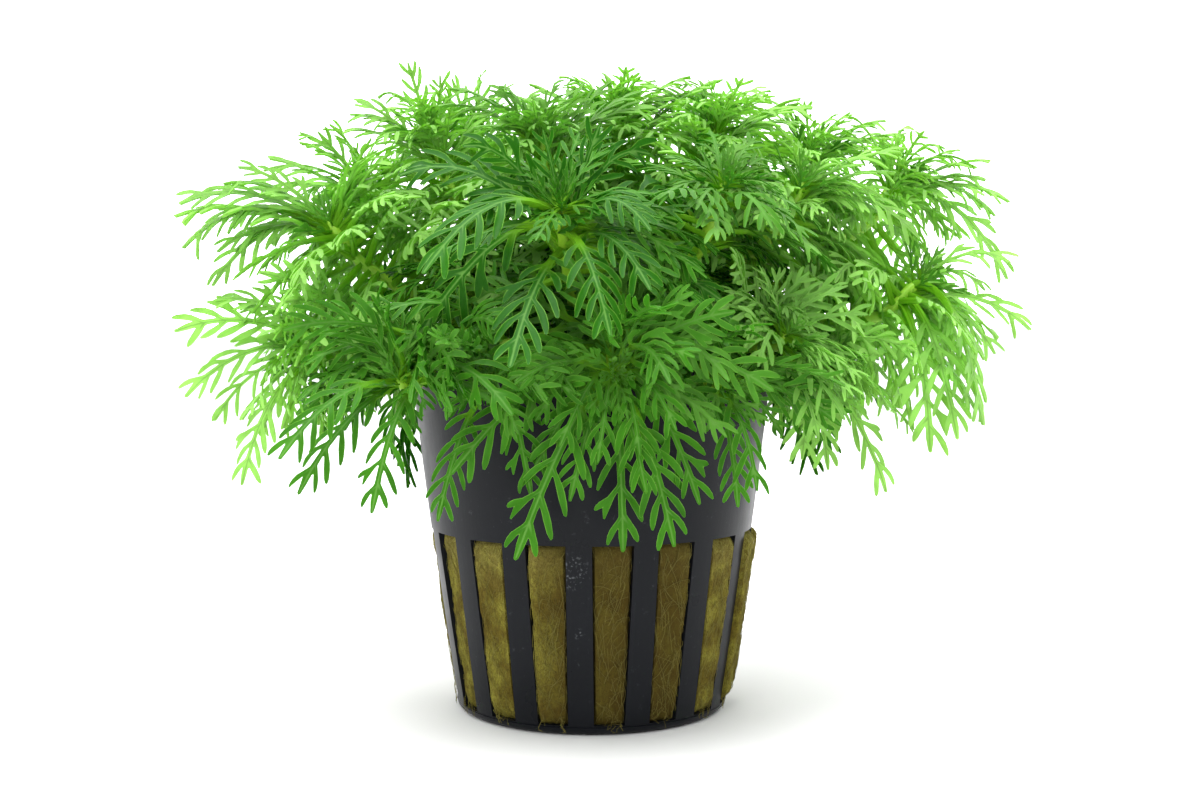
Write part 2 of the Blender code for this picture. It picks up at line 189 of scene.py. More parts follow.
# Leaves that stand out in the photograph, by shoot: the pixel of the leaf's tip, its length and how high it
# arches in mm, whether its tip comes nearer than its shoot (1) or lies behind it (-1), and its roll in
# degrees. How far it turns from facing the sky (0) to facing the camera (1) is 1 where no row says it.
Aimed = namedtuple("Aimed", "tip_x tip_y length arch nearer roll flat", defaults=(1.0,))
AIMED_LEAVES = {
    "front_high": [
        (510, 366, 28, 2, 1, 5), (610, 335, 24, 3, 1, -10), (424, 272, 26, 5, 1, 10),
        (650, 289, 21, 4, 1, -20), (409, 355, 29, 5, -1, 0), (543, 130, 13, 0, -1, 0),
        (600, 124, 13, 0, -1, 0), (650, 154, 18, 4, -1, 15), (650, 230, 19, 5, 1, -15),
        (717, 223, 26, 6, -1, -10), (464, 146, 19, 4, -1, -15), (400, 175, 25, 5, -1, 10),
        (476, 218, 17, 4, 1, 20), (555, 228, 12, 3, 1, 0),
    ],
    "front_low": [
        (452, 473, 26, 4, 1, 15), (535, 467, 17, 3, 1, 10), (516, 558, 27, 4, 1, 5),
        (623, 550, 23, 3, 1, -5), (674, 545, 23, 3, 1, -10), (699, 503, 20, 4, 1, -15),
        (694, 357, 15, 2, 1, -10), (499, 374, 18, 2, 1, 10), (686, 296, 17, 1, -1, 0),
        (707, 358, 18, 2, -1, 0), (560, 446, 15, 3, 1, 10), (598, 462, 15, 3, 1, 5),
        (640, 456, 15, 3, 1, -5), (676, 430, 15, 3, 1, -10), (536, 420, 15, 3, 1, 10),
        (570, 500, 19, 3, 1, 5), (646, 492, 18, 3, 1, -5),
    ],
    "front_left": [
        (309, 334, 16, 2, -1, 15), (305, 365, 17, 3, 1, 10), (280, 458, 23, 4, 1, 15),
        (299, 493, 24, 3, 1, 10), (372, 512, 22, 3, 1, 5), (512, 414, 24, 5, 1, -5),
    ],
    "front_left_low": [(438, 520, 20, 3, 1, 5), (531, 495, 20, 3, 1, -15)],
    "left_low": [(176, 331, 16, 3, 1, 0), (186, 396, 18, 4, 1, 10), (242, 484, 22, 4, 1, 10)],
    "left_high": [
        (183, 247, 20, 5, 1, 20), (175, 215, 20, 4, -1, 60), (180, 203, 19, 4, -1, 30),
        (239, 167, 13, 2, -1, 0), (213, 285, 19, 5, 1, 15), (218, 251, 18, 4, 1, 20),
    ],
    "left_back_high": [(318, 132, 8, 0, -1, 0)],
    "top_left": [(357, 101, 10, 1, -1, 0), (408, 63, 8, 0, 1, 0)],
    "top_left_back": [(452, 79, 8, 0, 1, 0)],
    "top_front": [(490, 90, 10, 3, -1, 10)],
    "right_high": [
        (750, 224, 18, 4, 1, 15), (771, 230, 16, 4, 1, 0), (881, 196, 13, 3, -1, -20),
        (919, 238, 20, 5, 1, -20), (818, 214, 11, 2, 1, 0),
    ],
    "right_front_high": [(772, 228, 16, 3, 1, -5)],
    "right_front": [
        (847, 286, 12, 1, -1, 0), (716, 283, 15, 2, -1, 20), (688, 312, 18, 3, 1, 20),
        (758, 366, 14, 3, 1, 10),
    ],
    "front_right_low": [(738, 506, 19, 3, 1, 0), (757, 490, 17, 3, 1, -10)],
    "right_low": [
        (802, 459, 18, 3, 1, 10), (828, 469, 19, 3, 1, 0), (886, 491, 22, 3, 1, -10),
        (888, 410, 14, 3, 1, -20),
    ],
    "right": [
        (1030, 329, 18, 4, 1, -15), (995, 353, 17, 4, 1, -10), (984, 424, 26, 7, 1, -40),
        (957, 438, 27, 4, 1, 0), (930, 451, 28, 3, 1, 10),
    ],
    "right_back": [(1009, 201, 17, 4, 1, -10), (1007, 278, 24, 6, 1, -10)],
}
# Leaves that go straight across to their tip, by shoot: rows of how high they arch in mm and how far they
# turn to the camera, followed by the pixels of their tips
ACROSS_LEAVES = {
    "front_left": [(3, 0.7, (330, 310), (360, 305), (410, 318), (345, 430), (415, 430), (300, 400))],
    "left_low": [(3, 0.7, (215, 300), (240, 312), (300, 300), (330, 345), (215, 420), (290, 430))],
    "left_high": [
        (3, 0.5, (224, 183), (205, 228), (262, 268), (300, 292), (345, 262), (235, 250), (340, 225)),
    ],
    "left_back_high": [
        (2, 0.5, (270, 158), (300, 132), (440, 138), (425, 120)),
        (3, 0.4, (300, 142), (330, 124), (264, 170), (262, 190), (290, 205)),
    ],
    "top_left": [
        (2, 0.5, (350, 114), (500, 92), (495, 110), (345, 130)),
        (3, 0.4, (378, 96), (440, 76), (372, 120)),
    ],
    "top_left_back": [
        (2, 0.5, (540, 94), (400, 98), (380, 110)),
        (2, 0.6, (480, 74), (505, 84), (430, 84)),
    ],
    "top_front": [
        (2, 0.6, (500, 86), (560, 84), (585, 92), (540, 100)),
        (2, 0.5, (640, 92), (655, 108), (450, 88), (440, 106), (610, 82)),
    ],
    "right_high": [
        (2, 0.5, (900, 152), (740, 138), (895, 172)),
        (4, 0.5, (860, 170), (880, 215), (735, 190), (845, 240)),
    ],
    "right_front_high": [(3, 0.8, (700, 214), (728, 234), (752, 208), (676, 186))],
    "right": [(4, 0.5, (985, 290), (960, 350), (890, 290), (1010, 262), (880, 340))],
    "right_back": [
        (2, 0.5, (985, 180), (835, 126), (850, 116), (990, 160), (955, 150)),
        (4, 0.4, (905, 130), (945, 148), (975, 168), (995, 215), (960, 235)),
    ],
    "top": [
        (2, 0.6, (570, 80), (605, 74), (655, 80), (672, 96)),
        (2, 0.5, (720, 80), (735, 97), (530, 84), (512, 99), (560, 76), (690, 76)),
    ],
    "top_right": [
        (2, 0.6, (684, 84), (700, 82), (762, 92), (780, 108)),
        (2, 0.5, (640, 86), (812, 108), (800, 126), (655, 102), (622, 112)),
    ],
    "top_right_back": [(2, 0.6, (735, 88), (798, 103)), (2, 0.5, (800, 98), (640, 98), (770, 90))],
    "right_back_high": [
        (2, 0.6, (835, 114), (872, 122), (770, 100), (895, 140)),
        (2, 0.5, (902, 134), (745, 102), (735, 118), (885, 120), (850, 112)),
    ],
}

SMOOTH_ANGLE = math.radians(50)
LEAF_SMOOTH_ANGLE = math.radians(75)


def new_mesh(name, points, faces):
    """A mesh of points and faces."""
    mesh = bpy.data.meshes.new(name)
    mesh.from_pydata(points, [], faces)
    return mesh


def new_object(name, mesh, material, smooth_angle=SMOOTH_ANGLE):
    """Put a mesh in the scene as an object with a material, smooth but for edges sharper than an angle."""
    item = bpy.data.objects.new(name, mesh)
    bpy.context.scene.collection.objects.link(item)
    mesh.materials.append(material)
    mesh.shade_smooth()
    mesh.set_sharp_from_angle(angle=smooth_angle)
    return item


def keep(item, slot, *nodes):
    """Let a finished piece ride on the body and hide the CAD nodes that it stands for; its slot is not used.
    """
    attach(item, BODY)
    if nodes:
        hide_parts(*nodes)


def between(ends, share):
    """The number at a share of the way from the first of two numbers to the second."""
    return ends[0] + (ends[1] - ends[0]) * share


def around(angle, radius, height):
    """Point at an angle from the front (-Y) towards +X."""
    return Vector((radius * math.sin(angle), -radius * math.cos(angle), height))


def photo_point(x, y, depth):
    """The point that the photograph shows at a pixel, at a given Y of the frame."""
    sideways = (x - PHOTO_WIDTH / 2) / FOCAL_PIXELS
    upwards = (PHOTO_HEIGHT / 2 - y) / FOCAL_PIXELS
    ray = Vector(
        (
            sideways,
            math.cos(CAMERA_PITCH) + upwards * math.sin(CAMERA_PITCH),
            upwards * math.cos(CAMERA_PITCH) - math.sin(CAMERA_PITCH),
        )
    )
    return CAMERA_PLACE + ray * ((depth - CAMERA_PLACE.y) / ray.y)


def photo_pixel(place):
    """The pixel at which the photograph shows a place."""
    offset = place - CAMERA_PLACE
    depth = offset.y * math.cos(CAMERA_PITCH) - offset.z * math.sin(CAMERA_PITCH)
    height = offset.z * math.cos(CAMERA_PITCH) + offset.y * math.sin(CAMERA_PITCH)
    across = FOCAL_PIXELS * offset.x / depth
    return Vector((PHOTO_WIDTH / 2 + across, PHOTO_HEIGHT / 2 - FOCAL_PIXELS * height / depth))


# Nodes of materials

# A mix node's two colours, among its inputs, and the mixed colour, among its outputs
MIX_COLOURS = (6, 7)
MIXED_COLOUR = 2


def node_adder(tree):
    """A function that adds nodes to a node tree."""

    def add(kind, links=None, **settings):
        """Add a node: settings are its properties, links its inputs by name or number (values or sockets)."""
        node = tree.nodes.new(kind)
        for key, value in settings.items():
            setattr(node, key, value)
        for key, value in (links or {}).items():
            if isinstance(value, bpy.types.NodeSocket):
                tree.links.new(value, node.inputs[key])
            else:
                node.inputs[key].default_value = value
        return node

    return add


def new_material(name):
    """An empty node material and a function that adds nodes to it."""
    material = bpy.data.materials.new(name)
    material.use_nodes = True
    material.node_tree.nodes.clear()
    return material, node_adder(material.node_tree)


def scalar_ramp(add, value, low, high, to_low=0.0, to_high=1.0, course="SMOOTHSTEP"):
    """Map a value from one range to another, clamped, and smoothly unless another course is named."""
    ends = {"From Min": low, "From Max": high, "To Min": to_low, "To Max": to_high}
    node = add("ShaderNodeMapRange", {"Value": value, **ends}, interpolation_type=course)
    return node.outputs["Result"]


def layered(add, colour, *layers):
    """A colour with others laid over it, each by its share. A colour is a setting or a node's output."""
    for share, over in layers:
        links = {0: share}
        for key, value in zip(MIX_COLOURS, (colour, over)):
            links[key] = value if isinstance(value, bpy.types.NodeSocket) else (*value, 1.0)
        colour = add("ShaderNodeMix", links, data_type="RGBA").outputs[MIXED_COLOUR]
    return colour


def noise_value(add, place, scale, detail=3.0, roughness=0.55, distortion=0.0):
    """Noise from 0 to 1 at a place."""
    settings = {"Vector": place, "Scale": scale, "Detail": detail, "Roughness": roughness}
    node = add("ShaderNodeTexNoise", {**settings, "Distortion": distortion})
    return node.outputs["Fac"]


def stretched(add, place, scale):
    """Coordinates scaled along each axis."""
    return add("ShaderNodeMapping", {"Vector": place, "Scale": scale}).outputs["Vector"]


def product(add, first, second):
    """Two numbers multiplied."""
    return add("ShaderNodeMath", {0: first, 1: second}, operation="MULTIPLY").outputs[0]


def distance_from(add, place, spot):
    """How far a place is from a spot."""
    node = add("ShaderNodeVectorMath", {0: place, 1: tuple(spot)}, operation="DISTANCE")
    return node.outputs["Value"]


def attribute(add, name):
    """A number kept at each vertex of a mesh."""
    return add("ShaderNodeAttribute", attribute_name=name).outputs["Fac"]


def bump(add, height, strength, distance):
    """A bumped normal."""
    node = add("ShaderNodeBump", {"Height": height, "Strength": strength, "Distance": distance})
    return node.outputs["Normal"]


def surface(add, colour, roughness, normal, gloss):
    """A surface that lets no light through."""
    links = {"Base Color": colour, "Roughness": roughness, "Normal": normal, "Specular IOR Level": gloss}
    return add("ShaderNodeBsdfPrincipled", links).outputs[0]


def finished(material, add, shader):
    """The material, with a shader as its surface."""
    add("ShaderNodeOutputMaterial", {"Surface": shader})
    return material


def leaf_material(settings):
    """Thin green blade: paler midrib, margins lightened by a painted highlight, yellow-green stalk, light
    that shines through.
    """
    material, add = new_material("water_violet_leaf")
    place = add("ShaderNodeTexCoord").outputs["Object"]
    vein = attribute(add, "vein")
    # The age darkens a leaf from the young to the old colours; set by shoot, it also paints backlight on the
    # sides and top and shade in front and inside.
    age = attribute(add, "age")
    grain = noise_value(add, place, 5200.0, 2.0)
    grown = scalar_ramp(add, age, 0.0, FULL_COLOUR_AGE)
    midrib = scalar_ramp(add, vein, 0.0, 0.4, 0.55, 0.0)
    # Paler margins: a painted highlight, the light that the rounded leaf edges catch, also laid on the light
    # that comes through.
    margin = scalar_ramp(add, vein, 0.86, 0.98, 0.0, 0.7)
    colour = layered(
        add,
        settings.young_colour,
        (grown, settings.middle_colour),
        (scalar_ramp(add, age, FULL_COLOUR_AGE, 1.0), settings.old_colour),
        (scalar_ramp(add, noise_value(add, place, 160.0), 0.3, 0.7, 0.0, 0.45), settings.shade_colour),
        (midrib, settings.midrib_colour),
        (margin, settings.margin_highlight_colour),
        # Pale grain specks: partly a fine powdery tone, partly painted sparkle, the glints of the waxy
        # surface.
        (scalar_ramp(add, grain, 0.5, 0.8, 0.0, 0.14), settings.bloom_and_sparkle_colour),
        (attribute(add, "stalk"), settings.stalk_colour),
    )
    through = layered(
        add,
        settings.through_young,
        (grown, settings.through_old),
        (midrib, settings.shade_colour),
        (margin, settings.margin_highlight_colour),
    )
    normal = bump(add, grain, 0.5, 0.04 * MM)
    blade = surface(add, colour, scalar_ramp(add, grain, 0.2, 0.8, 0.26, 0.4), normal, 0.09)
    glow = add("ShaderNodeBsdfTranslucent", {"Color": through, "Normal": normal}).outputs[0]
    shares = (settings.see_through, settings.see_through * OLD_SEE_THROUGH)
    see_through = scalar_ramp(add, age, 0.2, 0.9, *shares)
    mixed = add("ShaderNodeMixShader", {0: see_through, 1: blade, 2: glow}).outputs[0]
    return finished(material, add, mixed)


def stem_material(settings):
    """Smooth pale yellow-green stalk with faint streaks."""
    material, add = new_material("water_violet_stem")
    place = add("ShaderNodeTexCoord").outputs["Object"]
    streaks = noise_value(add, stretched(add, place, (900.0, 900.0, 120.0)), 1.0, 4.0)
    colour = layered(
        add,
        settings.colour,
        (noise_value(add, place, 140.0), settings.green_colour),
        (scalar_ramp(add, streaks, 0.35, 0.7, 0.0, 0.4), settings.green_colour),
    )
    roughness = scalar_ramp(add, streaks, 0.2, 0.8, 0.35, 0.5)
    return finished(material, add, surface(add, colour, roughness, bump(add, streaks, 0.3, 0.08 * MM), 0.3))


def pot_material(settings):
    """Dark slate-grey moulded plastic: satin, with faint upright drawing lines, dust and pale scuffs."""
    material, add = new_material("slate_plastic")
    place = add("ShaderNodeTexCoord").outputs["Object"]
    lines = noise_value(add, stretched(add, place, (2200.0, 2200.0, 60.0)), 1.0, 3.0)
    clouds = noise_value(add, place, 90.0, 5.0)
    dust = noise_value(add, place, 900.0, 6.0, 0.7)
    scratches = noise_value(add, stretched(add, place, (1500.0, 1500.0, 260.0)), 1.0, 5.0, 0.65, 1.5)
    specks = scalar_ramp(add, noise_value(add, place, 2600.0, 3.0), 0.55, 0.68, 0.0, 0.5)
    dusty = [scalar_ramp(add, dust, 0.6, 0.8, 0.0, 0.22), scalar_ramp(add, scratches, 0.69, 0.78, 0.0, 0.5)]
    for spot, reach in SCUFFED_SPOTS:
        near = scalar_ramp(add, distance_from(add, place, spot), reach * SCUFF_CORE, reach, 1.0, 0.0)
        dusty.append(product(add, near, specks))
    layers = [(share, settings.dust_colour) for share in dusty]
    colour = layered(add, settings.colour, (clouds, settings.worn_colour), *layers)
    roughness = scalar_ramp(add, clouds, 0.3, 0.7, settings.roughness - 0.07, settings.roughness + 0.1)
    height = add("ShaderNodeMath", {0: lines, 1: dust}, operation="ADD").outputs[0]
    return finished(material, add, surface(add, colour, roughness, bump(add, height, 0.25, 0.04 * MM), 0.1))


def wool_material(settings, name, paler):
    """Damp mineral fibre: olive yellow with brown and grey-beige patches, darker round a spot at the front,
    and fine strands.
    """
    material, add = new_material(name)
    place = add("ShaderNodeTexCoord").outputs["Object"]
    patches = noise_value(add, place, 240.0, 5.0, 0.62)
    strands = noise_value(add, stretched(add, place, (2400.0, 2400.0, 1300.0)), 1.0, 7.0, 0.72, 2.5)
    height = add("ShaderNodeSeparateXYZ", {0: place}).outputs["Z"]
    towards_top = scalar_ramp(add, height, *DRY_HEIGHTS, 0.0, 0.6)
    squeezed = add("ShaderNodeVectorMath", {0: place, 1: DARK_SPOT_SHAPE}, operation="MULTIPLY").outputs[0]
    # Darker round a spot at the front of the plug.
    near_dark_spot = scalar_ramp(add, distance_from(add, squeezed, DARK_SPOT), *DARK_SPOT_REACH, 0.8, 0.0)
    colour = layered(
        add,
        settings.brown_colour,
        (scalar_ramp(add, patches, 0.34, 0.68), settings.olive_colour),
        (product(add, towards_top, noise_value(add, place, 3000.0, 4.0)), settings.fuzz_colour),
        (near_dark_spot, settings.dark_spot_colour),
        # Painted shade between the strands, where the strand relief is low.
        (scalar_ramp(add, strands, 0.35, 0.6, 0.85, 0.0), settings.strand_gap_shade_colour),
        (paler, settings.fuzz_colour),
    )
    return finished(material, add, surface(add, colour, 0.85, bump(add, strands, 0.8, 0.3 * MM), 0.05))


# The net pot

# How finely it is divided: across a slot and a slat, and up a slot, the band and the rounded bottom corner
SLOT_STEPS = 8
SLAT_STEPS = 6
SLOT_ROWS = 8
BAND_ROWS = 8
CORNER_STEPS = 4
# The middle of the floor, which the drain slots leave whole, and where the corner meets the wall
HUB_RADIUS = 1.0 * MM
HUB_HALF_ANGLE = math.radians(9)
CORNER_FLATNESS = 0.75
FOOT_INSET = 0.12 * MM
FOOT_HEIGHT = 1.2 * MM
FLOOR_GAP = 0.1 * MM
# Rings inside the pot, below the slots
ROWS_BELOW_SLOTS = 4
BEVELLED_ANGLE = math.radians(38)


def outer_radius(height):
    """Radius of the pot's outer wall above the rounded bottom corner."""
    rise = height - CORNER_RADIUS
    return FLOOR_EDGE_RADIUS + WALL_TAPER * rise - WALL_BOW * rise * rise


def slot_half_angle(height):
    """Half the angle of a slot: what the slats leave free on the outer wall."""
    return (SLOT_PITCH - SLAT_WIDTH / outer_radius(height)) / 2


def drain_half_angle(radius):
    """Half the angle of a drain slot of even width at a radius."""
    return math.asin(min(1.0, DRAIN_HALF_WIDTH / radius))


def ring_angles(half_angle, slot_steps, slat_steps):
    """Angles round the pot: in steps across each slot, then across the slat after it."""
    angles = []
    for index in range(SLOT_COUNT):
        middle = FIRST_SLOT_ANGLE + SLOT_PITCH * index
        for step in range(slot_steps):
            angles.append(middle + half_angle * (2 * step / slot_steps - 1))
        for step in range(slat_steps):
            angles.append(middle + half_angle + (SLOT_PITCH - 2 * half_angle) * step / slat_steps)
    return angles


def wall_rings():
    """The pot's rings, up the outside and down the inside: the radius, height and slot half angle of each."""
    narrow = slot_half_angle(SLOT_BOTTOM)
    wide = slot_half_angle(SLOT_TOP)
    under_flange = POT_HEIGHT - FLANGE_HEIGHT
    rim = outer_radius(POT_HEIGHT)
    heights = [SLOT_BOTTOM + (SLOT_TOP - SLOT_BOTTOM) * step / SLOT_ROWS for step in range(SLOT_ROWS + 1)]
    heights += [SLOT_TOP + (under_flange - SLOT_TOP) * step / BAND_ROWS for step in range(1, BAND_ROWS)]
    wall = [(outer_radius(height), height, slot_half_angle(min(height, SLOT_TOP))) for height in heights]
    foot = [
        (HUB_RADIUS, 0.0, HUB_HALF_ANGLE),
        (DRAIN_INSIDE, 0.0, drain_half_angle(DRAIN_INSIDE)),
        (DRAIN_OUTSIDE, 0.0, drain_half_angle(DRAIN_OUTSIDE)),
    ]
    inside = [(radius - WALL, height, half) for radius, height, half in reversed(wall)]
    inside.append((outer_radius(FLOOR) - WALL - FLOOR_GAP, FLOOR, narrow))
    inside += [(radius, FLOOR, half) for radius, height, half in reversed(foot)]
    for step in range(CORNER_STEPS + 1):
        turn = math.pi / 2 * step / CORNER_STEPS
        radius = FLOOR_EDGE_RADIUS - CORNER_RADIUS * (1 - math.sin(turn))
        foot.append((radius, CORNER_RADIUS * CORNER_FLATNESS * (1 - math.cos(turn)), narrow))
    foot.append((FLOOR_EDGE_RADIUS - FOOT_INSET, FOOT_HEIGHT, narrow))
    outside = wall + [
        (outer_radius(under_flange), under_flange, wide),
        (rim + FLANGE_WIDTH, under_flange, wide),
        (rim + FLANGE_WIDTH, POT_HEIGHT, wide),
        (rim - WALL, POT_HEIGHT, wide),
    ]
    return foot + outside + inside, len(foot)


def is_slot(column):
    """Whether a column of the pot's faces lies across a slot."""
    return column % (SLOT_STEPS + SLAT_STEPS) < SLOT_STEPS


def is_drain(column):
    """Whether a column of the pot's faces lies across a drain slot: under every second slot of the wall."""
    return is_slot(column) and (column // (SLOT_STEPS + SLAT_STEPS)) % 2 == 0


def add_skin(shape, rows, holes=()):
    """Faces between rings of vertices, but for holes of (row, column), and over the first and last ring."""
    for row, (lower, upper) in enumerate(zip(rows, rows[1:])):
        for column in range(len(lower)):
            after = (column + 1) % len(lower)
            if (row, column) not in holes:
                shape.faces.new((lower[column], lower[after], upper[after], upper[column]))
    shape.faces.new(list(reversed(rows[0])))
    shape.faces.new(rows[-1])


def finished_mesh(name, shape):
    """A shape turned into a mesh."""
    mesh = bpy.data.meshes.new(name)
    shape.to_mesh(mesh)
    shape.free()
    return mesh


def pot_mesh():
    """One closed skin of rings, open in the wall's slots and in every second slot column of the floor."""
    rings, foot_count = wall_rings()
    shape = bmesh.new()
    rows = []
    for radius, height, half in rings:
        angles = ring_angles(half, SLOT_STEPS, SLAT_STEPS)
        rows.append([shape.verts.new(around(angle, radius, height)) for angle in angles])
    last = len(rows) - 1
    columns = [(column, (column + 1) % len(rows[0])) for column in range(len(rows[0]))]
    # Each opening: its first row outside, the row after its last one, its lowest row inside, and its columns
    slots = (foot_count, foot_count + SLOT_ROWS, last - ROWS_BELOW_SLOTS, is_slot)
    openings = (slots, (1, 2, last - 1, is_drain))
    holes = set()
    for first, final, inside, is_open in openings:
        for row in (*range(first, final), *range(inside - (final - first), inside)):
            holes |= {(row, column) for column, after in columns if is_open(column)}
    add_skin(shape, rows, holes)
    for first, final, inside, is_open in openings:
        for column, after in columns:
            if not is_open(column):
                continue
            for outer_row, inner_row in ((first, inside), (final, inside - (final - first))):
                face = (rows[outer_row][column], rows[outer_row][after])
                face += (rows[inner_row][after], rows[inner_row][column])
                shape.faces.new(face if outer_row == final else face[::-1])
            for side, beyond in ((column, column - 1), (after, after)):
                if is_open(beyond):
                    continue
                for low in range(first, final):
                    inner = inside - (low - first)
                    face = (rows[low][side], rows[low + 1][side], rows[inner - 1][side], rows[inner][side])
                    shape.faces.new(face if side == column else face[::-1])
    bmesh.ops.recalc_face_normals(shape, faces=shape.faces)
    return finished_mesh("net_pot", shape)


def make_pot(settings):
    """The net pot, with finely rounded edges."""
    pot = new_object("net_pot", pot_mesh(), pot_material(settings))
    bevel = pot.modifiers.new("rounded edges", "BEVEL")
    bevel.width = settings.edge_radius
    bevel.segments = 2
    bevel.limit_method = "ANGLE"
    bevel.angle_limit = BEVELLED_ANGLE
    bevel.harden_normals = True
    keep(pot, "pot_plastic", "pot")


# Rock wool

# How finely the plug is divided: up the slots and above them, across a slot and behind a slat, and on its top
WOOL_ROWS_IN_SLOTS = 64
WOOL_ROWS_ABOVE = 10
WOOL_STEPS_IN_SLOT = 15
WOOL_STEPS_BEHIND_SLAT = 3
WOOL_CAP_RINGS = 10
WOOL_GAP = 0.15 * MM
WOOL_LIFT = 0.1 * MM
# How the wool falls off towards a slot's sides and ends
SLOT_EDGE_SHARE = 0.995
SIDE_FALL = 0.35
SIDE_POWER = 12
END_FALL = 1.6 * MM
# Relief of matted fibre: scale and depth of its lumps, its upright strands and the lumps on top
LUMP_SCALE = 260
LUMP_DEPTH = 0.28 * MM
STRAND_SCALE = Vector((1500, 1500, 330))
STRAND_DEPTH = 0.16 * MM
TOP_SCALE = 300
TOP_DEPTH = 0.5 * MM
# Loose fibres on the wool: ranges and spreads of their lengths and radii in mm, and of their angles
FIBRE_SEED = 21
FIBRE_WIDTH_SHARE = 0.92
FIBRE_START = (SLOT_BOTTOM + 0.3 * MM, SLOT_TOP - 0.5 * MM)
FIBRE_LIMITS = (SLOT_BOTTOM + 0.1 * MM, SLOT_TOP - 0.2 * MM)
FIBRE_SIDE_LIMIT = 0.95
FIBRE_FOLLOWS = 0.6
FIBRE_LENGTH = (2.0, 6.5)
FIBRE_LEAN = 0.45
FIBRE_BEND = 0.6
FIBRE_STAND_OFF = (-0.05, 0.16)
FIBRE_WAVE = 0.12 * MM
FIBRE_RADIUS = (0.016, 0.038)
FIBRE_STEPS = 5
FIBRE_SIDES = 3
FIBRE_PALENESS = 0.3
# Stray fibres over the foot ring
STRAYS_PER_SLOT = 10
STRAY_WIDTH_SHARE = 0.85
STRAY_START = (0.2, 2.5)
STRAY_LENGTH = (0.8, 2.4)
STRAY_LOWEST = 0.5 * MM
STRAY_FALL = (0.5, 1.0)
STRAY_SWAY = 0.012
STRAY_LIFT = 0.06 * MM
STRAY_ARCH = 0.15 * MM
STRAY_ARCH_SHARE = 0.7
STRAY_RADIUS = (0.025, 0.045)
STRAY_STEPS = 4


def wool_radius(angle, height):
    """Radius of the plug's skin: pressed against the wall, and out through the slots."""
    inside = outer_radius(height) - WALL - WOOL_GAP
    turn = (angle - FIRST_SLOT_ANGLE) / SLOT_PITCH
    nearest = round(turn)
    half = slot_half_angle(height) / SLOT_PITCH
    off_middle = abs(turn - nearest)
    if off_middle > half * SLOT_EDGE_SHARE or not SLOT_BOTTOM < height < SLOT_TOP:
        return inside
    across = 1 - SIDE_FALL * (off_middle / half) ** SIDE_POWER
    along = min(1.0, min(height - SLOT_BOTTOM, SLOT_TOP - height) / END_FALL) ** 0.5
    bulge = WALL + WOOL_BULGE_MM[nearest % SLOT_COUNT] * MM
    return inside + bulge * across * along


def fibre_relief(place):
    """Relief of matted fibre: lumps and upright strands."""
    lumps = noise.fractal(place * LUMP_SCALE, 1.0, 2.0, 4) * LUMP_DEPTH
    return lumps + noise.fractal(place * STRAND_SCALE, 0.9, 2.1, 4) * STRAND_DEPTH


def wool_mesh():
    """The plug: a closed skin of rings with fibrous relief."""
    shape = bmesh.new()
    low = FLOOR + WOOL_LIFT
    heights = [low + (SLOT_TOP - low) * row / WOOL_ROWS_IN_SLOTS for row in range(WOOL_ROWS_IN_SLOTS)]
    above = (WOOL_TOP - SLOT_TOP) / WOOL_ROWS_ABOVE
    heights += [SLOT_TOP + above * row for row in range(WOOL_ROWS_ABOVE + 1)]
    rows = []
    for height in heights:
        ring = []
        for angle in ring_angles(slot_half_angle(height), WOOL_STEPS_IN_SLOT, WOOL_STEPS_BEHIND_SLAT):
            radius = wool_radius(angle, height)
            in_slot = radius > outer_radius(height) - WALL
            relief = fibre_relief(around(angle, radius, height)) if in_slot else 0.0
            ring.append(shape.verts.new(around(angle, radius + relief, height)))
        rows.append(ring)
    edge = rows[-1]
    for cap in range(1, WOOL_CAP_RINGS):
        share = 1 - cap / WOOL_CAP_RINGS
        ring = []
        for vert in edge:
            place = Vector((vert.co.x * share, vert.co.y * share, WOOL_TOP))
            place.z += noise.fractal(place * TOP_SCALE, 1.0, 2.0, 4) * TOP_DEPTH
            ring.append(shape.verts.new(place))
        rows.append(ring)
    add_skin(shape, rows)
    return finished_mesh("wool_plug", shape)


# A route whose level run is a smaller share of its length than this counts as upright
STEEP_ROUTE = 0.1


def tube(route, radii, sides):
    """Points and triangles of a closed tube along a route, with a radius at each of its points."""
    route = [Vector(point) for point in route]
    hint = UP.cross(route[-1] - route[0])
    if hint.length < STEEP_ROUTE * (route[-1] - route[0]).length:
        hint = RIGHT
    points = []
    for index, point in enumerate(route):
        before = route[max(0, index - 1)]
        following = route[min(len(route) - 1, index + 1)]
        along = (following - before).normalized()
        across = (hint - along * hint.dot(along)).normalized()
        hint = across
        upright = along.cross(across)
        for side in range(sides):
            turn = 2 * math.pi * side / sides
            offset = across * math.cos(turn) + upright * math.sin(turn)
            points.append(point + offset * radii[index])
    triangles = []
    for ring in range(len(route) - 1):
        for side in range(sides):
            low, low_after = ring * sides + side, ring * sides + (side + 1) % sides
            high, high_after = low + sides, low_after + sides
            triangles += [(low, low_after, high_after), (low, high_after, high)]
    for first, turned in ((0, True), ((len(route) - 1) * sides, False)):
        for side in range(1, sides - 1):
            corner = (first, first + side, first + side + 1)
            triangles.append(tuple(reversed(corner)) if turned else corner)
    return points, triangles


def join(parts):
    """One list of points and one of triangles from several pairs."""
    points, triangles = [], []
    for part_points, part_triangles in parts:
        start = len(points)
        points += part_points
        triangles += [tuple(start + index for index in corners) for corners in part_triangles]
    return points, triangles


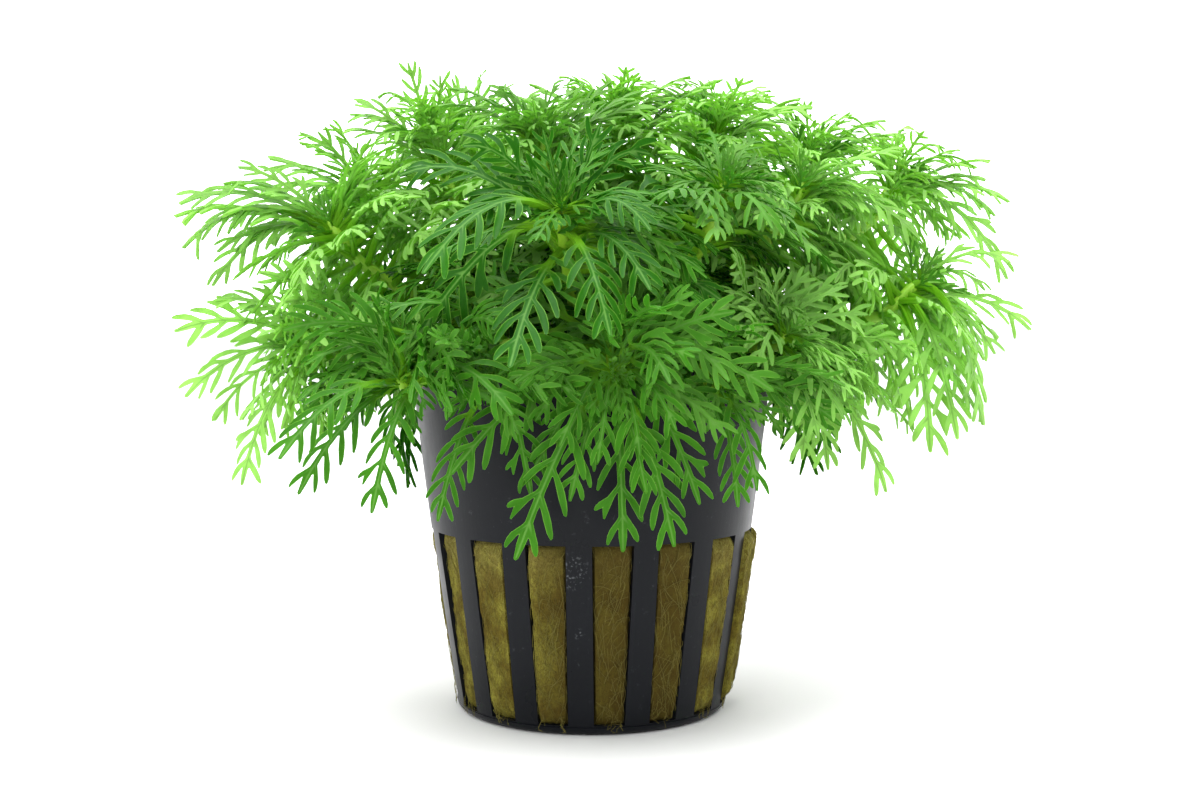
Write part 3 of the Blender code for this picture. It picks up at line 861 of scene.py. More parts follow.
def loose_fibre(rng, slot):
    """A loose fibre on the wool in a slot."""
    height = rng.uniform(*FIBRE_START)
    middle = FIRST_SLOT_ANGLE + SLOT_PITCH * slot
    angle = middle + rng.uniform(-FIBRE_WIDTH_SHARE, FIBRE_WIDTH_SHARE) * slot_half_angle(height)
    length = rng.uniform(*FIBRE_LENGTH) * MM
    lean = rng.gauss(0, FIBRE_LEAN)
    bend = rng.gauss(0, FIBRE_BEND)
    stand_off = rng.uniform(*FIBRE_STAND_OFF) * MM
    route = []
    for step in range(FIBRE_STEPS + 1):
        share = step / FIBRE_STEPS
        turn = lean + bend * share
        climb = length * (share - 0.5) * math.cos(turn)
        level = min(max(height + climb, FIBRE_LIMITS[0]), FIBRE_LIMITS[1])
        swing = length * (share - 0.5) * math.sin(turn) / outer_radius(level)
        reach = slot_half_angle(level) * FIBRE_SIDE_LIMIT
        spot = min(max(angle + swing, middle - reach), middle + reach)
        relief = fibre_relief(around(spot, outer_radius(level), level)) * FIBRE_FOLLOWS
        lift = stand_off + FIBRE_WAVE * math.sin(3.0 * share + 10 * bend)
        route.append(around(spot, wool_radius(spot, level) + relief + lift, level))
    return tube(route, [rng.uniform(*FIBRE_RADIUS) * MM] * len(route), FIBRE_SIDES)


def stray_fibre(rng, slot):
    """A pale fibre that pokes out over the foot ring at the bottom of a slot."""
    middle = FIRST_SLOT_ANGLE + SLOT_PITCH * slot
    angle = middle + rng.uniform(-STRAY_WIDTH_SHARE, STRAY_WIDTH_SHARE) * slot_half_angle(SLOT_BOTTOM)
    start = SLOT_BOTTOM + rng.uniform(*STRAY_START) * MM
    length = rng.uniform(*STRAY_LENGTH) * MM
    route = []
    for step in range(STRAY_STEPS + 1):
        share = step / STRAY_STEPS
        level = max(start - length * share * rng.uniform(*STRAY_FALL), STRAY_LOWEST)
        lift = STRAY_LIFT + STRAY_ARCH * math.sin(math.pi * share * STRAY_ARCH_SHARE)
        radius = outer_radius(max(level, CORNER_RADIUS)) + lift
        route.append(around(angle + rng.gauss(0, STRAY_SWAY), radius, level))
    return tube(route, [rng.uniform(*STRAY_RADIUS) * MM] * len(route), FIBRE_SIDES)


def make_wool(settings):
    """The rock wool plug with its loose fibres."""
    plug = new_object("wool_plug", wool_mesh(), wool_material(settings, "rock_wool_mat", 0.0))
    keep(plug, "rock_wool", "rock_wool")
    rng = random.Random(FIBRE_SEED)
    strands = []
    for slot in range(SLOT_COUNT):
        strands += [loose_fibre(rng, slot) for _ in range(settings.strands_per_slot)]
        strands += [stray_fibre(rng, slot) for _ in range(STRAYS_PER_SLOT)]
    mesh = new_mesh("wool_fibres", *join(strands))
    fibres = new_object("wool_fibres", mesh, wool_material(settings, "rock_wool_fibre", FIBRE_PALENESS))
    keep(fibres, "rock_wool")


# Stems


def outward(shoot):
    """Level unit direction from the pot's axis to a shoot's heart."""
    return Vector((shoot.heart[0], shoot.heart[1], 0)).normalized()


def heart(shoot):
    """The heart of a shoot's whorl, in metres."""
    return Vector(shoot.heart) * MM


def high_share(shoot):
    """How high a shoot's heart is, from 0 for the lowest to 1 for the highest."""
    return (heart(shoot).z - LOWEST_HEART) / (HIGHEST_HEART - LOWEST_HEART)


def tip_axis(shoot):
    """Direction in which the tip of a shoot points."""
    tilt = math.radians(shoot.tilt)
    return UP * math.cos(tilt) + outward(shoot) * math.sin(tilt)


def root_point(shoot):
    """Where a stem leaves the rock wool: high shoots stand further in than low ones."""
    reach = heart(shoot).xy.length * between(ROOT_SHARES, high_share(shoot))
    return outward(shoot) * min(OUTERMOST_ROOT, reach) + UP * WOOL_TOP


def stem_route(shoot):
    """Points of a stem from its foot in the rock wool to its shoot's heart."""
    root = root_point(shoot)
    controls = [root - UP * STEM_DEPTH, root]
    over_rim = outward(shoot) * outer_radius(POT_HEIGHT) + UP * (POT_HEIGHT + RIM_CROSSING)
    end = heart(shoot) - tip_axis(shoot) * WHORL_DEPTH
    if shoot.tilt == HANGING_TILT or heart(shoot).z < CROSSING_BELOW:
        controls += [root + UP * LOW_STEM_RISE, over_rim, end]
    else:
        controls += [root + UP * STEM_RISE, end - tip_axis(shoot) * STEM_RISE, end]
    controls.append(heart(shoot) - tip_axis(shoot) * HEART_RISE)
    ends = [2 * controls[0] - controls[1], *controls, 2 * controls[-1] - controls[-2]]
    route = [controls[0]]
    for before, start, finish, after in zip(ends, ends[1:], ends[2:], ends[3:]):
        handle_length = (finish - start).length / 3
        leaving = start + (finish - before).normalized() * handle_length
        arriving = finish - (after - start).normalized() * handle_length
        route += interpolate_bezier(start, leaving, arriving, finish, ROUTE_STEPS + 1)[1:]
    return route


def make_stems(settings):
    """A stalk for each shoot."""
    material = stem_material(settings)
    for shoot in SHOOTS:
        route = stem_route(shoot)
        radii = []
        for index in range(len(route)):
            share = index / (len(route) - 1)
            radius = between((settings.foot_radius, settings.neck_radius), share)
            radii.append(radius * (1 - NECK_THINNING * max(0.0, share - 1 + NECK_SHARE) / NECK_SHARE))
        name = "stalk_" + shoot.name
        stalk = new_object(name, new_mesh(name, *tube(route, radii, STALK_SIDES)), material)
        keep(stalk, "stem", "stem_" + shoot.name)


# Leaves: the flat pattern of a leaf, in mm

# A stroke of a leaf's pattern: its midrib with the stalk, a lobe, or a small lobe on a lobe. Its points are
# (x, y, height) from base to tip, with half its width at each. The parent is the stroke that it grows from.
Stroke = namedtuple("Stroke", "points halves parent at")
MIDRIB_WIDTHS = (
    0.8, 0.5, 0.44, 0.42, 0.42, 0.46, 0.5, 0.5, 0.48, 0.48, 0.46, 0.44, 0.42, 0.42, 0.5, 0.52, 0.28,
)
LOBE_WIDTHS = (0.6, 0.62, 0.72, 0.85, 0.95, 1.0, 1.0, 0.96, 0.82, 0.45)
# The relief and the thickness of a leaf
CHANNEL = 0.2
CHANNEL_REACH_MM = 0.8
HEIGHT_BLEND = 7.0
BLADE_DEPTH_MM = 0.26
MIDRIB_DEPTH_MM = 0.42
STALK_DEPTH_MM = 0.9
STALK_SIDE_MM = 0.68
STALK_REACH_MM = 1.6
STALK_END = 1.25
ON_MIDRIB_MM = 0.01
# How straight and slim the midrib is, and where the last pair of lobes stands on it
MIDRIB_SWAY = 0.12
LENGTH_PER_WIDTH = 12.5
LAST_PAIR = 0.83
# Lobes: the part of a half wave that sizes them, then ranges of their offset from each other, their sizes,
# turns in degrees, bends, rise and droop
SIZE_PHASES = (0.32, 0.74)
PAIR_OFFSETS = (0.006, 0.026)
PAIR_CLOSING = 14
LOBE_SIZES = (0.88, 1.1)
LOBE_THINNING = 0.12
LOBE_TURN = 5
LOBE_BENDS = (0.45, 0.85)
LOBE_RISES = (-0.1, 0.22)
LOBE_DROOPS = (0.05, 0.4)
# The share of inner lobes that are forked, and ranges of the smaller lobe's size, angle and place
FORKED_SHARE = 0.25
TOOTH_SIZES = (0.42, 0.5)
TOOTH_ANGLES = (32, 40)
TOOTH_PLACES = (0.4, 0.52)
TOOTH_WIDTH = 0.75
# How the outline is traced and divided
WEB_SHARE = 0.013
GRID_MM = 0.13
MARGIN_TOLERANCE_MM = 0.06
LONGEST_EDGE_MM = 2.2
PATTERN_TRIES = 40
FULL_LENGTH_MM = 24
LOBE_VEIN = 0.4
LEAF_REACH = 0.2
SPINE_STEPS = 24

# How a leaf is cut: its length in mm, the share of its stalk, its pairs of lobes, the lobes' length and width
# in mm, and the angle at which they spread in degrees
Cut = namedtuple("Cut", "length stalk_share pairs lobe_length lobe_width spread")
# Full-grown leaves differ in their stalks and in how wide their lobes are
FULL_CUT = Cut(FULL_LENGTH_MM, 0.24, 5, 5.6, 0.92, 56)
FULL_PATTERNS = 9
STALK_SHARES = (0.24, 0.35, 0.3)
WIDER_LOBES = (0.0, 0.06, 0.12, 0.18)
# Middling, young and budding leaves: the first pattern's seed, the number of patterns, and their cut
SMALLER_PATTERNS = (
    (20, 4, Cut(17, 0.28, 4, 4.8, 0.84, 52)),
    (40, 3, Cut(10, 0.3, 3, 3.5, 0.74, 46)),
    (60, 3, Cut(6.5, 0.3, 3, 2.5, 0.55, 40)),
)
LeafPattern = namedtuple("LeafPattern", "points triangles vein stalk length")


def new_stroke(start, heading, bend, length, width, widths, rise, droop, parent=None, at=0.0):
    """A curved, tapered stroke. Its heading is in radians from +Y, positive to the right."""
    count = len(widths) - 1
    points = [np.array(start)]
    for step in range(1, count + 1):
        share = step / count
        turn = heading + bend * (step - 0.5) / count
        here = points[-1] + np.array((math.sin(turn), math.cos(turn), 0.0)) * length / count
        here[2] = start[2] + (rise - droop * share) * length * share
        points.append(here)
    return Stroke(np.array(points), np.array(widths) * width / 2, parent, at)


def point_on(stroke, share):
    """Place on a stroke's midline, and its heading there."""
    count = len(stroke.points) - 1
    index = min(int(share * count), count - 1)
    way = stroke.points[index + 1] - stroke.points[index]
    return stroke.points[index] + way * (share * count - index), math.atan2(way[0], way[1])


def new_lobe(rng, parent, at, side, angle, length, width):
    """A lobe that leaves its parent at an angle and curves forward."""
    start, heading = point_on(parent, at)
    bend = -side * angle * rng.uniform(*LOBE_BENDS)
    rise = rng.uniform(*LOBE_RISES)
    droop = rng.uniform(*LOBE_DROOPS)
    heading += side * angle
    return new_stroke(start, heading, bend, length, width, LOBE_WIDTHS, rise, droop, parent, at)


def leaf_strokes(rng, cut):
    """The midrib of a leaf with its lobes, all curved and sized a little differently."""
    sway = rng.uniform(-MIDRIB_SWAY, MIDRIB_SWAY)
    width = cut.length / LENGTH_PER_WIDTH
    midrib = new_stroke((0.0, 0.0, 0.0), -sway / 2, sway, cut.length, width, MIDRIB_WIDTHS, 0.0, 0.0)
    strokes = [midrib]
    for pair in range(cut.pairs):
        share = pair / (cut.pairs - 1)
        at = between((cut.stalk_share, LAST_PAIR), share)
        size = math.sin(math.pi * between(SIZE_PHASES, share))
        offset = rng.uniform(*PAIR_OFFSETS) * rng.choice((-1, 1))
        for side in (1, -1):
            angle = math.radians(cut.spread - PAIR_CLOSING * share + rng.uniform(-LOBE_TURN, LOBE_TURN))
            length = cut.lobe_length * size * rng.uniform(*LOBE_SIZES)
            width = cut.lobe_width * rng.uniform(*LOBE_SIZES) * (1 - LOBE_THINNING * share)
            lobe = new_lobe(rng, midrib, at + side * offset, side, angle, length, width)
            strokes.append(lobe)
            if 0 < pair < cut.pairs - 1 and rng.random() < FORKED_SHARE:
                length *= rng.uniform(*TOOTH_SIZES)
                angle = math.radians(rng.uniform(*TOOTH_ANGLES))
                place = rng.uniform(*TOOTH_PLACES)
                strokes.append(new_lobe(rng, lobe, place, side, angle, length, cut.lobe_width * TOOTH_WIDTH))
    return strokes


def stroke_field(stroke, places):
    """For each place: its distance to a stroke's margin (negative inside), to its midline, and the height."""
    best = np.full(len(places), np.inf)
    middle = np.zeros(len(places))
    height = np.zeros(len(places))
    for index in range(len(stroke.points) - 1):
        first, last = stroke.points[index], stroke.points[index + 1]
        way = (last - first)[:2]
        share = np.clip((places - first[:2]) @ way / (way @ way), 0.0, 1.0)
        distance = np.linalg.norm(places - first[:2] - share[:, None] * way, axis=1)
        half = stroke.halves[index] + (stroke.halves[index + 1] - stroke.halves[index]) * share
        closer = distance - half < best
        best = np.where(closer, distance - half, best)
        middle = np.where(closer, distance, middle)
        height = np.where(closer, first[2] + (last[2] - first[2]) * share, height)
    return best, middle, height


def webbed(first, second, reach):
    """Join two distance fields with a rounded web between them."""
    share = np.clip(0.5 + 0.5 * (second - first) / reach, 0.0, 1.0)
    return second * (1 - share) + first * share - reach * share * (1 - share)


def leaf_field(strokes, places):
    """Distance of places to the margin of the whole leaf, negative inside."""
    fields = {id(stroke): stroke_field(stroke, places)[0] for stroke in strokes}
    web = WEB_SHARE * strokes[0].points[-1][1]
    whole = fields[id(strokes[0])]
    for stroke in reversed(strokes[1:]):
        parent = id(stroke.parent)
        joined = webbed(fields[parent], fields[id(stroke)], web)
        if stroke.parent is strokes[0]:
            whole = np.minimum(whole, joined)
        else:
            fields[parent] = joined
    return whole


def leaf_heights(strokes, places):
    """Height of the upper side at places: lobes are channelled and run smoothly into the midrib."""
    total = np.zeros(len(places))
    weights = np.zeros(len(places))
    for stroke in strokes:
        margin, middle, height = stroke_field(stroke, places)
        weight = np.exp(-HEIGHT_BLEND * margin)
        total += weight * (height + CHANNEL * np.minimum(middle, CHANNEL_REACH_MM))
        weights += weight
    return total / weights


def zero_lines(field):
    """Closed lines, in grid steps, along which a field on a grid is zero."""
    inside = field < 0
    filled = inside[:-1, :-1].astype(int) + inside[:-1, 1:] + inside[1:, 1:] + inside[1:, :-1]
    following = {}
    for row, column in np.argwhere((filled > 0) & (filled < 4)).tolist():
        corners = [(row, column), (row, column + 1), (row + 1, column + 1), (row + 1, column)]
        crossed = []
        for start, end in zip(corners, corners[1:] + corners[:1]):
            if inside[start] != inside[end]:
                crossed.append((inside[end], tuple(sorted((start, end)))))
        if not crossed[0][0]:
            crossed = crossed[1:] + crossed[:1]
        for (_, entry), (_, leave) in zip(crossed[::2], crossed[1::2]):
            following[entry] = leave
    lines = []
    while following:
        edge, following_edge = following.popitem()
        line = [edge]
        while following_edge != line[0]:
            line.append(following_edge)
            following_edge = following.pop(following_edge)
        places = []
        for start, end in reversed(line):
            share = field[start] / (field[start] - field[end])
            places.append(np.array(start[::-1]) * (1 - share) + np.array(end[::-1]) * share)
        lines.append(np.array(places))
    return lines


def thinned(line, tolerance):
    """A closed line with fewer points, none further than the tolerance from where the old line ran."""
    count = len(line)
    closed = np.concatenate([line, line[:1]])
    kept = {0, count // 2}
    spans = [(0, count // 2), (count // 2, count)]
    while spans:
        first, last = spans.pop()
        if last - first < 2:
            continue
        way = closed[last] - closed[first]
        between = closed[first + 1 : last] - closed[first]
        off = np.abs(between[:, 0] * way[1] - between[:, 1] * way[0]) / np.linalg.norm(way)
        furthest = int(np.argmax(off))
        if off[furthest] > tolerance:
            middle = first + 1 + furthest
            kept.add(middle)
            spans += [(first, middle), (middle, last)]
    return closed[sorted(kept)]


def with_short_edges(line, longest):
    """A closed line with points added, so that no edge is longer than a limit."""
    result = []
    for start, end in zip(line, np.roll(line, -1, axis=0)):
        steps = math.ceil(np.linalg.norm(end - start) / longest)
        result += [start + (end - start) * step / steps for step in range(steps)]
    return result


def midline_points(strokes, margin_count):
    """Places on the midlines of all strokes, and the edges that join them."""
    places = []
    edges = []
    numbers = {}
    for stroke in strokes:
        reach = np.linalg.norm(stroke.points[-1] - stroke.points[0])
        count = max(2, round(reach / LONGEST_EDGE_MM))
        own = [step / count for step in range(1, count + 1)]
        if stroke.parent is None:
            own = [0.02, *own]
        own += [child.at for child in strokes if child.parent is stroke]
        own = sorted(own)
        chain = [numbers[id(stroke.parent), stroke.at]] if stroke.parent is not None else []
        for at in own:
            numbers[id(stroke), at] = margin_count + len(places)
            chain.append(margin_count + len(places))
            places.append(point_on(stroke, at)[0][:2])
        edges += list(zip(chain, chain[1:]))
    return places, edges


def spanning_edges(triangles, margin_count):
    """Edges inside the leaf that run from margin to margin."""
    counts = Counter(tuple(sorted(edge)) for a, b, c in triangles for edge in ((a, b), (b, c), (c, a)))
    return sorted(edge for edge, uses in counts.items() if uses > 1 and max(edge) < margin_count)


def triangulated_leaf(strokes):
    """Places, triangles and the number of margin places of one leaf, or nothing where lobes touch.

    Edges from margin to margin get a place in their middle, because the leaf's two sides meet at the margin
    and such an edge would join them.
    """
    low = np.min([stroke.points.min(axis=0) for stroke in strokes], axis=0)[:2] - 1.0
    high = np.max([stroke.points.max(axis=0) for stroke in strokes], axis=0)[:2] + 1.0
    columns, rows = (int(steps) for steps in (high - low) / GRID_MM)
    across, along = np.meshgrid(low[0] + GRID_MM * np.arange(columns), low[1] + GRID_MM * np.arange(rows))
    field = leaf_field(strokes, np.stack([across.ravel(), along.ravel()], axis=1)).reshape(rows, columns)
    lines = zero_lines(field)
    if len(lines) != 1:
        return None
    margin = with_short_edges(thinned(lines[0] * GRID_MM + low, MARGIN_TOLERANCE_MM), LONGEST_EDGE_MM)
    inner, edges = midline_points(strokes, len(margin))
    rim = list(range(len(margin)))
    spanning = None
    while spanning != []:
        inner += [(margin[first] + margin[last]) / 2 for first, last in spanning or []]
        flat = [Vector(place) for place in margin + inner]
        places, _, faces, origins, _, rims = delaunay_2d_cdt(flat, edges, [rim], 1, 1e-5, True)
        if len(places) != len(flat):
            return None
        triangles = []
        for corners, is_inside in zip(faces, rims):
            if is_inside:
                a, b, c = (origins[corner][0] for corner in corners)
                turn = (flat[b] - flat[a]).cross(flat[c] - flat[a])
                triangles.append((a, b, c) if turn > 0 else (a, c, b))
        spanning = spanning_edges(triangles, len(margin))
    return np.array(flat), triangles, len(margin)


def leaf_pattern(seed, cut):
    """A thin closed mesh of one flat leaf, in mm, along +Y with its upper side towards +Z."""
    rng = random.Random(seed)
    for _ in range(PATTERN_TRIES):
        strokes = leaf_strokes(rng, cut)
        found = triangulated_leaf(strokes)
        if found:
            break
    else:
        raise RuntimeError("the lobes of leaf pattern " + str(seed) + " touch at every try")
    flat, triangles, margin_count = found
    count = len(flat)
    top = np.column_stack([flat, leaf_heights(strokes, flat)])
    vein = np.full(count, LOBE_VEIN)
    vein[:margin_count] = 1.0
    on_midrib = stroke_field(strokes[0], flat)[1] < ON_MIDRIB_MM
    vein[on_midrib] = 0.0
    from_base = np.clip(STALK_END - flat[:, 1] / cut.length / cut.stalk_share, 0.0, 0.5) * 2
    stalk = from_base * np.clip(STALK_REACH_MM - np.abs(flat[:, 0]), 0.0, 1.0)
    depth = np.where(on_midrib, MIDRIB_DEPTH_MM, BLADE_DEPTH_MM)
    depth += (STALK_DEPTH_MM - depth) * stalk
    depth[:margin_count] = STALK_SIDE_MM * stalk[:margin_count]
    bottom = top.copy()
    bottom[:, 2] -= depth * cut.length / FULL_LENGTH_MM
    partner = [index if depth[index] == 0 else index + count for index in range(count)]
    edges = {edge for a, b, c in triangles for edge in ((a, b), (b, c), (c, a))}
    under = [(partner[c], partner[b], partner[a]) for a, b, c in triangles]
    walls = []
    for first, second in sorted(edges):
        if (second, first) not in edges:
            walls.append((first, partner[first], partner[second]))
            walls.append((first, partner[second], second))
    walls = [corners for corners in walls if len(set(corners)) == 3]
    used = sorted({corner for corners in triangles + under + walls for corner in corners})
    numbers = np.zeros(2 * count, int)
    numbers[used] = np.arange(len(used))
    return LeafPattern(
        points=np.concatenate([top, bottom])[used],
        triangles=numbers[np.array(triangles + under + walls)],
        vein=np.concatenate([vein, vein])[used],
        stalk=np.concatenate([stalk, stalk])[used],
        length=cut.length,
    )


def place_leaf(pattern, base, control, tip, facing, width=1.0, droop=0.0, twist=0.0):
    """Points of a leaf bent along the curve from base over control to tip, with its upper side facing a way.

    Its lobes droop by an angle in radians, in an even bend out to the widest lobes, and stand up where it is
    negative. The leaf twists by another angle towards its tip.
    """
    base, control, tip, facing = (np.array(point, float) for point in (base, control, tip, facing))
    shares = np.linspace(0.0, 1.0, SPINE_STEPS + 1)[:, None]
    spine = base * (1 - shares) ** 2 + 2 * control * shares * (1 - shares) + tip * shares**2
    steps = np.linalg.norm(np.diff(spine, axis=0), axis=1)
    run = np.concatenate([[0.0], np.cumsum(steps)])
    local = pattern.points
    share = np.interp(np.clip(local[:, 1] / pattern.length, 0, 1.05) * run[-1], run, shares[:, 0])[:, None]
    beyond = np.clip(local[:, 1] / pattern.length - 1.0, 0.0, 1.0)[:, None] * run[-1]
    centre = base * (1 - share) ** 2 + 2 * control * share * (1 - share) + tip * share**2
    along = 2 * (control - base) * (1 - share) + 2 * (tip - control) * share
    along /= np.linalg.norm(along, axis=1, keepdims=True)
    upper = facing - along * (along @ facing)[:, None]
    upper /= np.linalg.norm(upper, axis=1, keepdims=True)
    right = np.cross(along, upper)
    size = run[-1] / pattern.length
    bend = droop * np.abs(local[:, 0:1]) / (LEAF_REACH * pattern.length)
    x = local[:, 0:1] * size * width * np.sinc(bend / math.pi)
    drop = np.abs(local[:, 0:1]) * size * width * np.sin(bend / 2) * np.sinc(bend / math.tau)
    z = local[:, 2:3] * size - drop
    turn = twist * share
    across = x * np.cos(turn) - z * np.sin(turn)
    height = x * np.sin(turn) + z * np.cos(turn)
    return centre + along * beyond + right * across + upper * height


def leaf_patterns():
    """Patterns of full-grown, middling and young leaves, and of the smallest in the heart."""
    full = []
    for seed in range(FULL_PATTERNS):
        width = FULL_CUT.lobe_width + WIDER_LOBES[seed % len(WIDER_LOBES)]
        share = STALK_SHARES[seed % len(STALK_SHARES)]
        full.append(leaf_pattern(seed, FULL_CUT._replace(stalk_share=share, lobe_width=width)))
    smaller = []
    for seed, count, cut in SMALLER_PATTERNS:
        smaller.append([leaf_pattern(seed + number, cut) for number in range(count)])
    return full, *smaller


# Where leaves stand on their shoots

# One leaf of a shoot: its pattern, its placed points and its age, which also carries its shoot's painted
# light and shade
Leaf = namedtuple("Leaf", "pattern points age")
GOLDEN_TURN = math.radians(137.5)
FIRST_SHOOT_SEED = 500
# Leaves longer than this, in mm, have the full-grown pattern or the middling one
FULL_FROM_MM = 17
MIDDLING_FROM_MM = 9
NEARLY_UPRIGHT = 0.9

# Aimed leaves: where they start on the stem, how they arch and face, and ranges of their age, droop and twist
AIMED_ZONE = 8.0 * MM
AIMED_START = (0.15, 1.0)
AIMED_SPAN = 0.94
RAY_DEPTH = 40 * MM
ARCH_FACTOR = 1.6
ARCH_LEAN = 1.5 * MM
OUTWARD = 0.4
UPWARD = (1.3, 0.4)
AIMED_AGES = (0.85, 1.2)
AIMED_DROOP = (-15, 25)
SKYWARD_DROOP = 15
AIMED_TWIST = 0.25

# Leaves of the spiral, from the lowest (share 0) to the innermost (share 1), with angles in degrees, the
# ranges of what is drawn for each leaf, and how near they may come to an aimed leaf
LEAFY_LENGTHS = (12.0 * MM, 26.0 * MM)
SPACING_POWER = 2.3
SHORTENING = 0.78
SHORTENING_POWER = 2.2
GROWN_SIZES = (0.88, 1.1)
GROWN_WIDTHS = (0.9, 1.1)
GROWN_AGES = (0.8, 1.2)
INNER_FRESHNESS = 0.25
WIDEST_OPENING = 70
OPENING_PER_TILT = 0.4
MOST_TILT = 42
CLOSING = 27
CLOSING_POWER = 1.5
OPENING_DRAW = 12
TURN_DRAW = 0.25
SAG = 1.15
SAG_DRAW = (0.6, 1.4)
SAG_LENGTH = 24 * MM
GROWN_DROOP = (0, 60)
INNER_DROOP = 15
GROWN_TWIST = 0.4
SKYWARD = 0.4
BEND_SHARE = 0.52
TIP_SHARE = 0.5
LEAF_RISES = (4.5 * MM, 14.0 * MM)
RISE_LENGTH = 20 * MM
STEEPEST_CLIMB = 1.7
STEEPEST_FALL = -0.9
TURNS_TRIED = 7
NEXT_TURN = math.radians(50)
CROWDED_SHARES = (0.25, 0.85)
CROWDED_COSINE = 0.88

# The nest of the youngest leaves, from the outermost (share 0) to the innermost (share 1), angles in degrees
YOUNGEST_LEAVES = 15
NEST_OPENING = (68, 12)
NEST_LENGTH_MM = (7.6, 3.0)
NEST_SIZES = (0.9, 1.15)
NEST_DEPTH = 2.0 * MM
NEST_DROOP = (-60, -10)
NEST_CURL = 40
NEST_BEND = 0.55
NEST_SPREAD = 0.8
NEST_INWARD = 0.7
NEST_AGE = 0.45
NEST_FRESHNESS = (0.95, 0.6)

# Shoots that have a ring of short leaves round the nest, and the ring's radius in the photograph
RINGED_HEARTS = ("front_low", "front_left", "right_front")
RING_LEAVES = 9
RING_PIXELS = 56
RING_LENGTH_MM = 9.0
RING_TURN_DRAW = 0.2
RING_REACHES = (0.75, 1.2)
RING_SIZES = (0.9, 1.15)

# Shoots whose hearts the photograph shows, and how much in front of them is kept clear
HEARTS_IN_VIEW = (
    "front_high", "front_low", "front_left", "left_high",
    "right_high", "right_front", "right", "right_front_high",
)
CLEAR_DEPTH = 2.0 * MM
CLEAR_PIXELS = 36
# How close to the pot a leaf may come
LEAF_CLEARANCE = 0.8 * MM
# The row of the photograph below which only aimed leaves hang, from shoots that stand in front of a depth
FRINGE_LEVEL = 440
FRINGE_DEPTH = 10.0 * MM


def leaf_mesh(name, leaves):
    """The leaves of a shoot joined into one mesh, with numbers at each vertex."""
    starts = np.cumsum([0] + [len(leaf.points) for leaf in leaves])
    triangles = [leaf.pattern.triangles + start for leaf, start in zip(leaves, starts)]
    points = np.concatenate([leaf.points for leaf in leaves])
    mesh = new_mesh(name, points.tolist(), np.concatenate(triangles).tolist())
    numbers = {
        "vein": [leaf.pattern.vein for leaf in leaves],
        "stalk": [leaf.pattern.stalk for leaf in leaves],
        "age": [np.full(len(leaf.points), leaf.age) for leaf in leaves],
    }
    for key, parts in numbers.items():
        layer = mesh.attributes.new(key, "FLOAT", "POINT")
        layer.data.foreach_set("value", np.concatenate(parts).astype(np.float32))
    return mesh


def pattern_for(patterns, rng, length):
    """A pattern that suits a leaf's length in mm."""
    full, middling, young, _ = patterns
    if length > FULL_FROM_MM:
        return rng.choice(full)
    return rng.choice(middling if length > MIDDLING_FROM_MM else young)


def route_point(route, distance):
    """Point and direction on a stem's route, at a distance back from its end."""
    left = distance
    for index in range(len(route) - 1, 0, -1):
        step = route[index] - route[index - 1]
        if step.length >= left:
            return route[index] - step.normalized() * left, step.normalized()
        left -= step.length
    return route[0], (route[1] - route[0]).normalized()


def square_to(along):
    """A unit direction square to a stem."""
    return along.cross(UP if abs(along.z) < NEARLY_UPRIGHT else RIGHT).normalized()


def opened(along, radial, angle):
    """A direction that leaves the stem's own at an angle in radians, towards a radial one."""
    return along * math.cos(angle) + radial * math.sin(angle)


def aimed_tip(base, aim):
    """The point on a pixel's ray that is the leaf's length away from its base, or as near to that as can be.

    A leaf that comes neither nearer nor lies behind goes straight across, and is as long as that makes it.
    """
    near = photo_point(aim.tip_x, aim.tip_y, base.y - RAY_DEPTH)
    far = photo_point(aim.tip_x, aim.tip_y, base.y + RAY_DEPTH)
    ray = (far - near).normalized()
    foot = near + ray * (base - near).dot(ray)
    if not aim.nearer:
        return foot
    reach = aim.length * MM * AIMED_SPAN
    off = (foot - base).length
    return foot - ray * math.sqrt(max(0.0, reach * reach - off * off)) * aim.nearer


def aimed_leaf(patterns, rng, shoot, route, aim):
    """One leaf whose tip the photograph shows, and its direction."""
    base, _ = route_point(route, rng.uniform(*AIMED_START) * AIMED_ZONE)
    tip = aimed_tip(base, aim)
    control = (base + tip) / 2 + UP * aim.arch * MM * ARCH_FACTOR + tip_axis(shoot) * ARCH_LEAN
    way = (tip - base).normalized()
    facing = tip_axis(shoot) * OUTWARD + UP * between(UPWARD, aim.flat) - AWAY * aim.flat
    facing = Matrix.Rotation(math.radians(aim.roll), 3, way) @ facing
    pattern = pattern_for(patterns, rng, (tip - base).length / MM)
    age = min(1.0, shoot.age * rng.uniform(*AIMED_AGES))
    droop = math.radians(rng.uniform(*AIMED_DROOP) + SKYWARD_DROOP * (1 - aim.flat))
    twist = rng.uniform(-AIMED_TWIST, AIMED_TWIST)
    return Leaf(pattern, place_leaf(pattern, base, control, tip, facing, 1.0, droop, twist), age), way


def aims_of(shoot):
    """The aimed leaves of a shoot: those with a length of their own, then those that go straight across."""
    aims = [Aimed(*row) for row in AIMED_LEAVES.get(shoot.name, ())]
    for arch, flat, *tips in ACROSS_LEAVES.get(shoot.name, ()):
        aims += [Aimed(x, y, 0, arch, 0, 0, flat) for x, y in tips]
    return aims


def leafy_length(shoot):
    """Length of the leafy part of a stem: short on low shoots, whose stems lie on the rim."""
    return between(LEAFY_LENGTHS, high_share(shoot))


def leaf_rise(shoot):
    """How far leaves rise above their shoot's heart: most on hanging shoots, where they turn to the light."""
    return between(LEAF_RISES, (shoot.tilt / HANGING_TILT) ** 2)


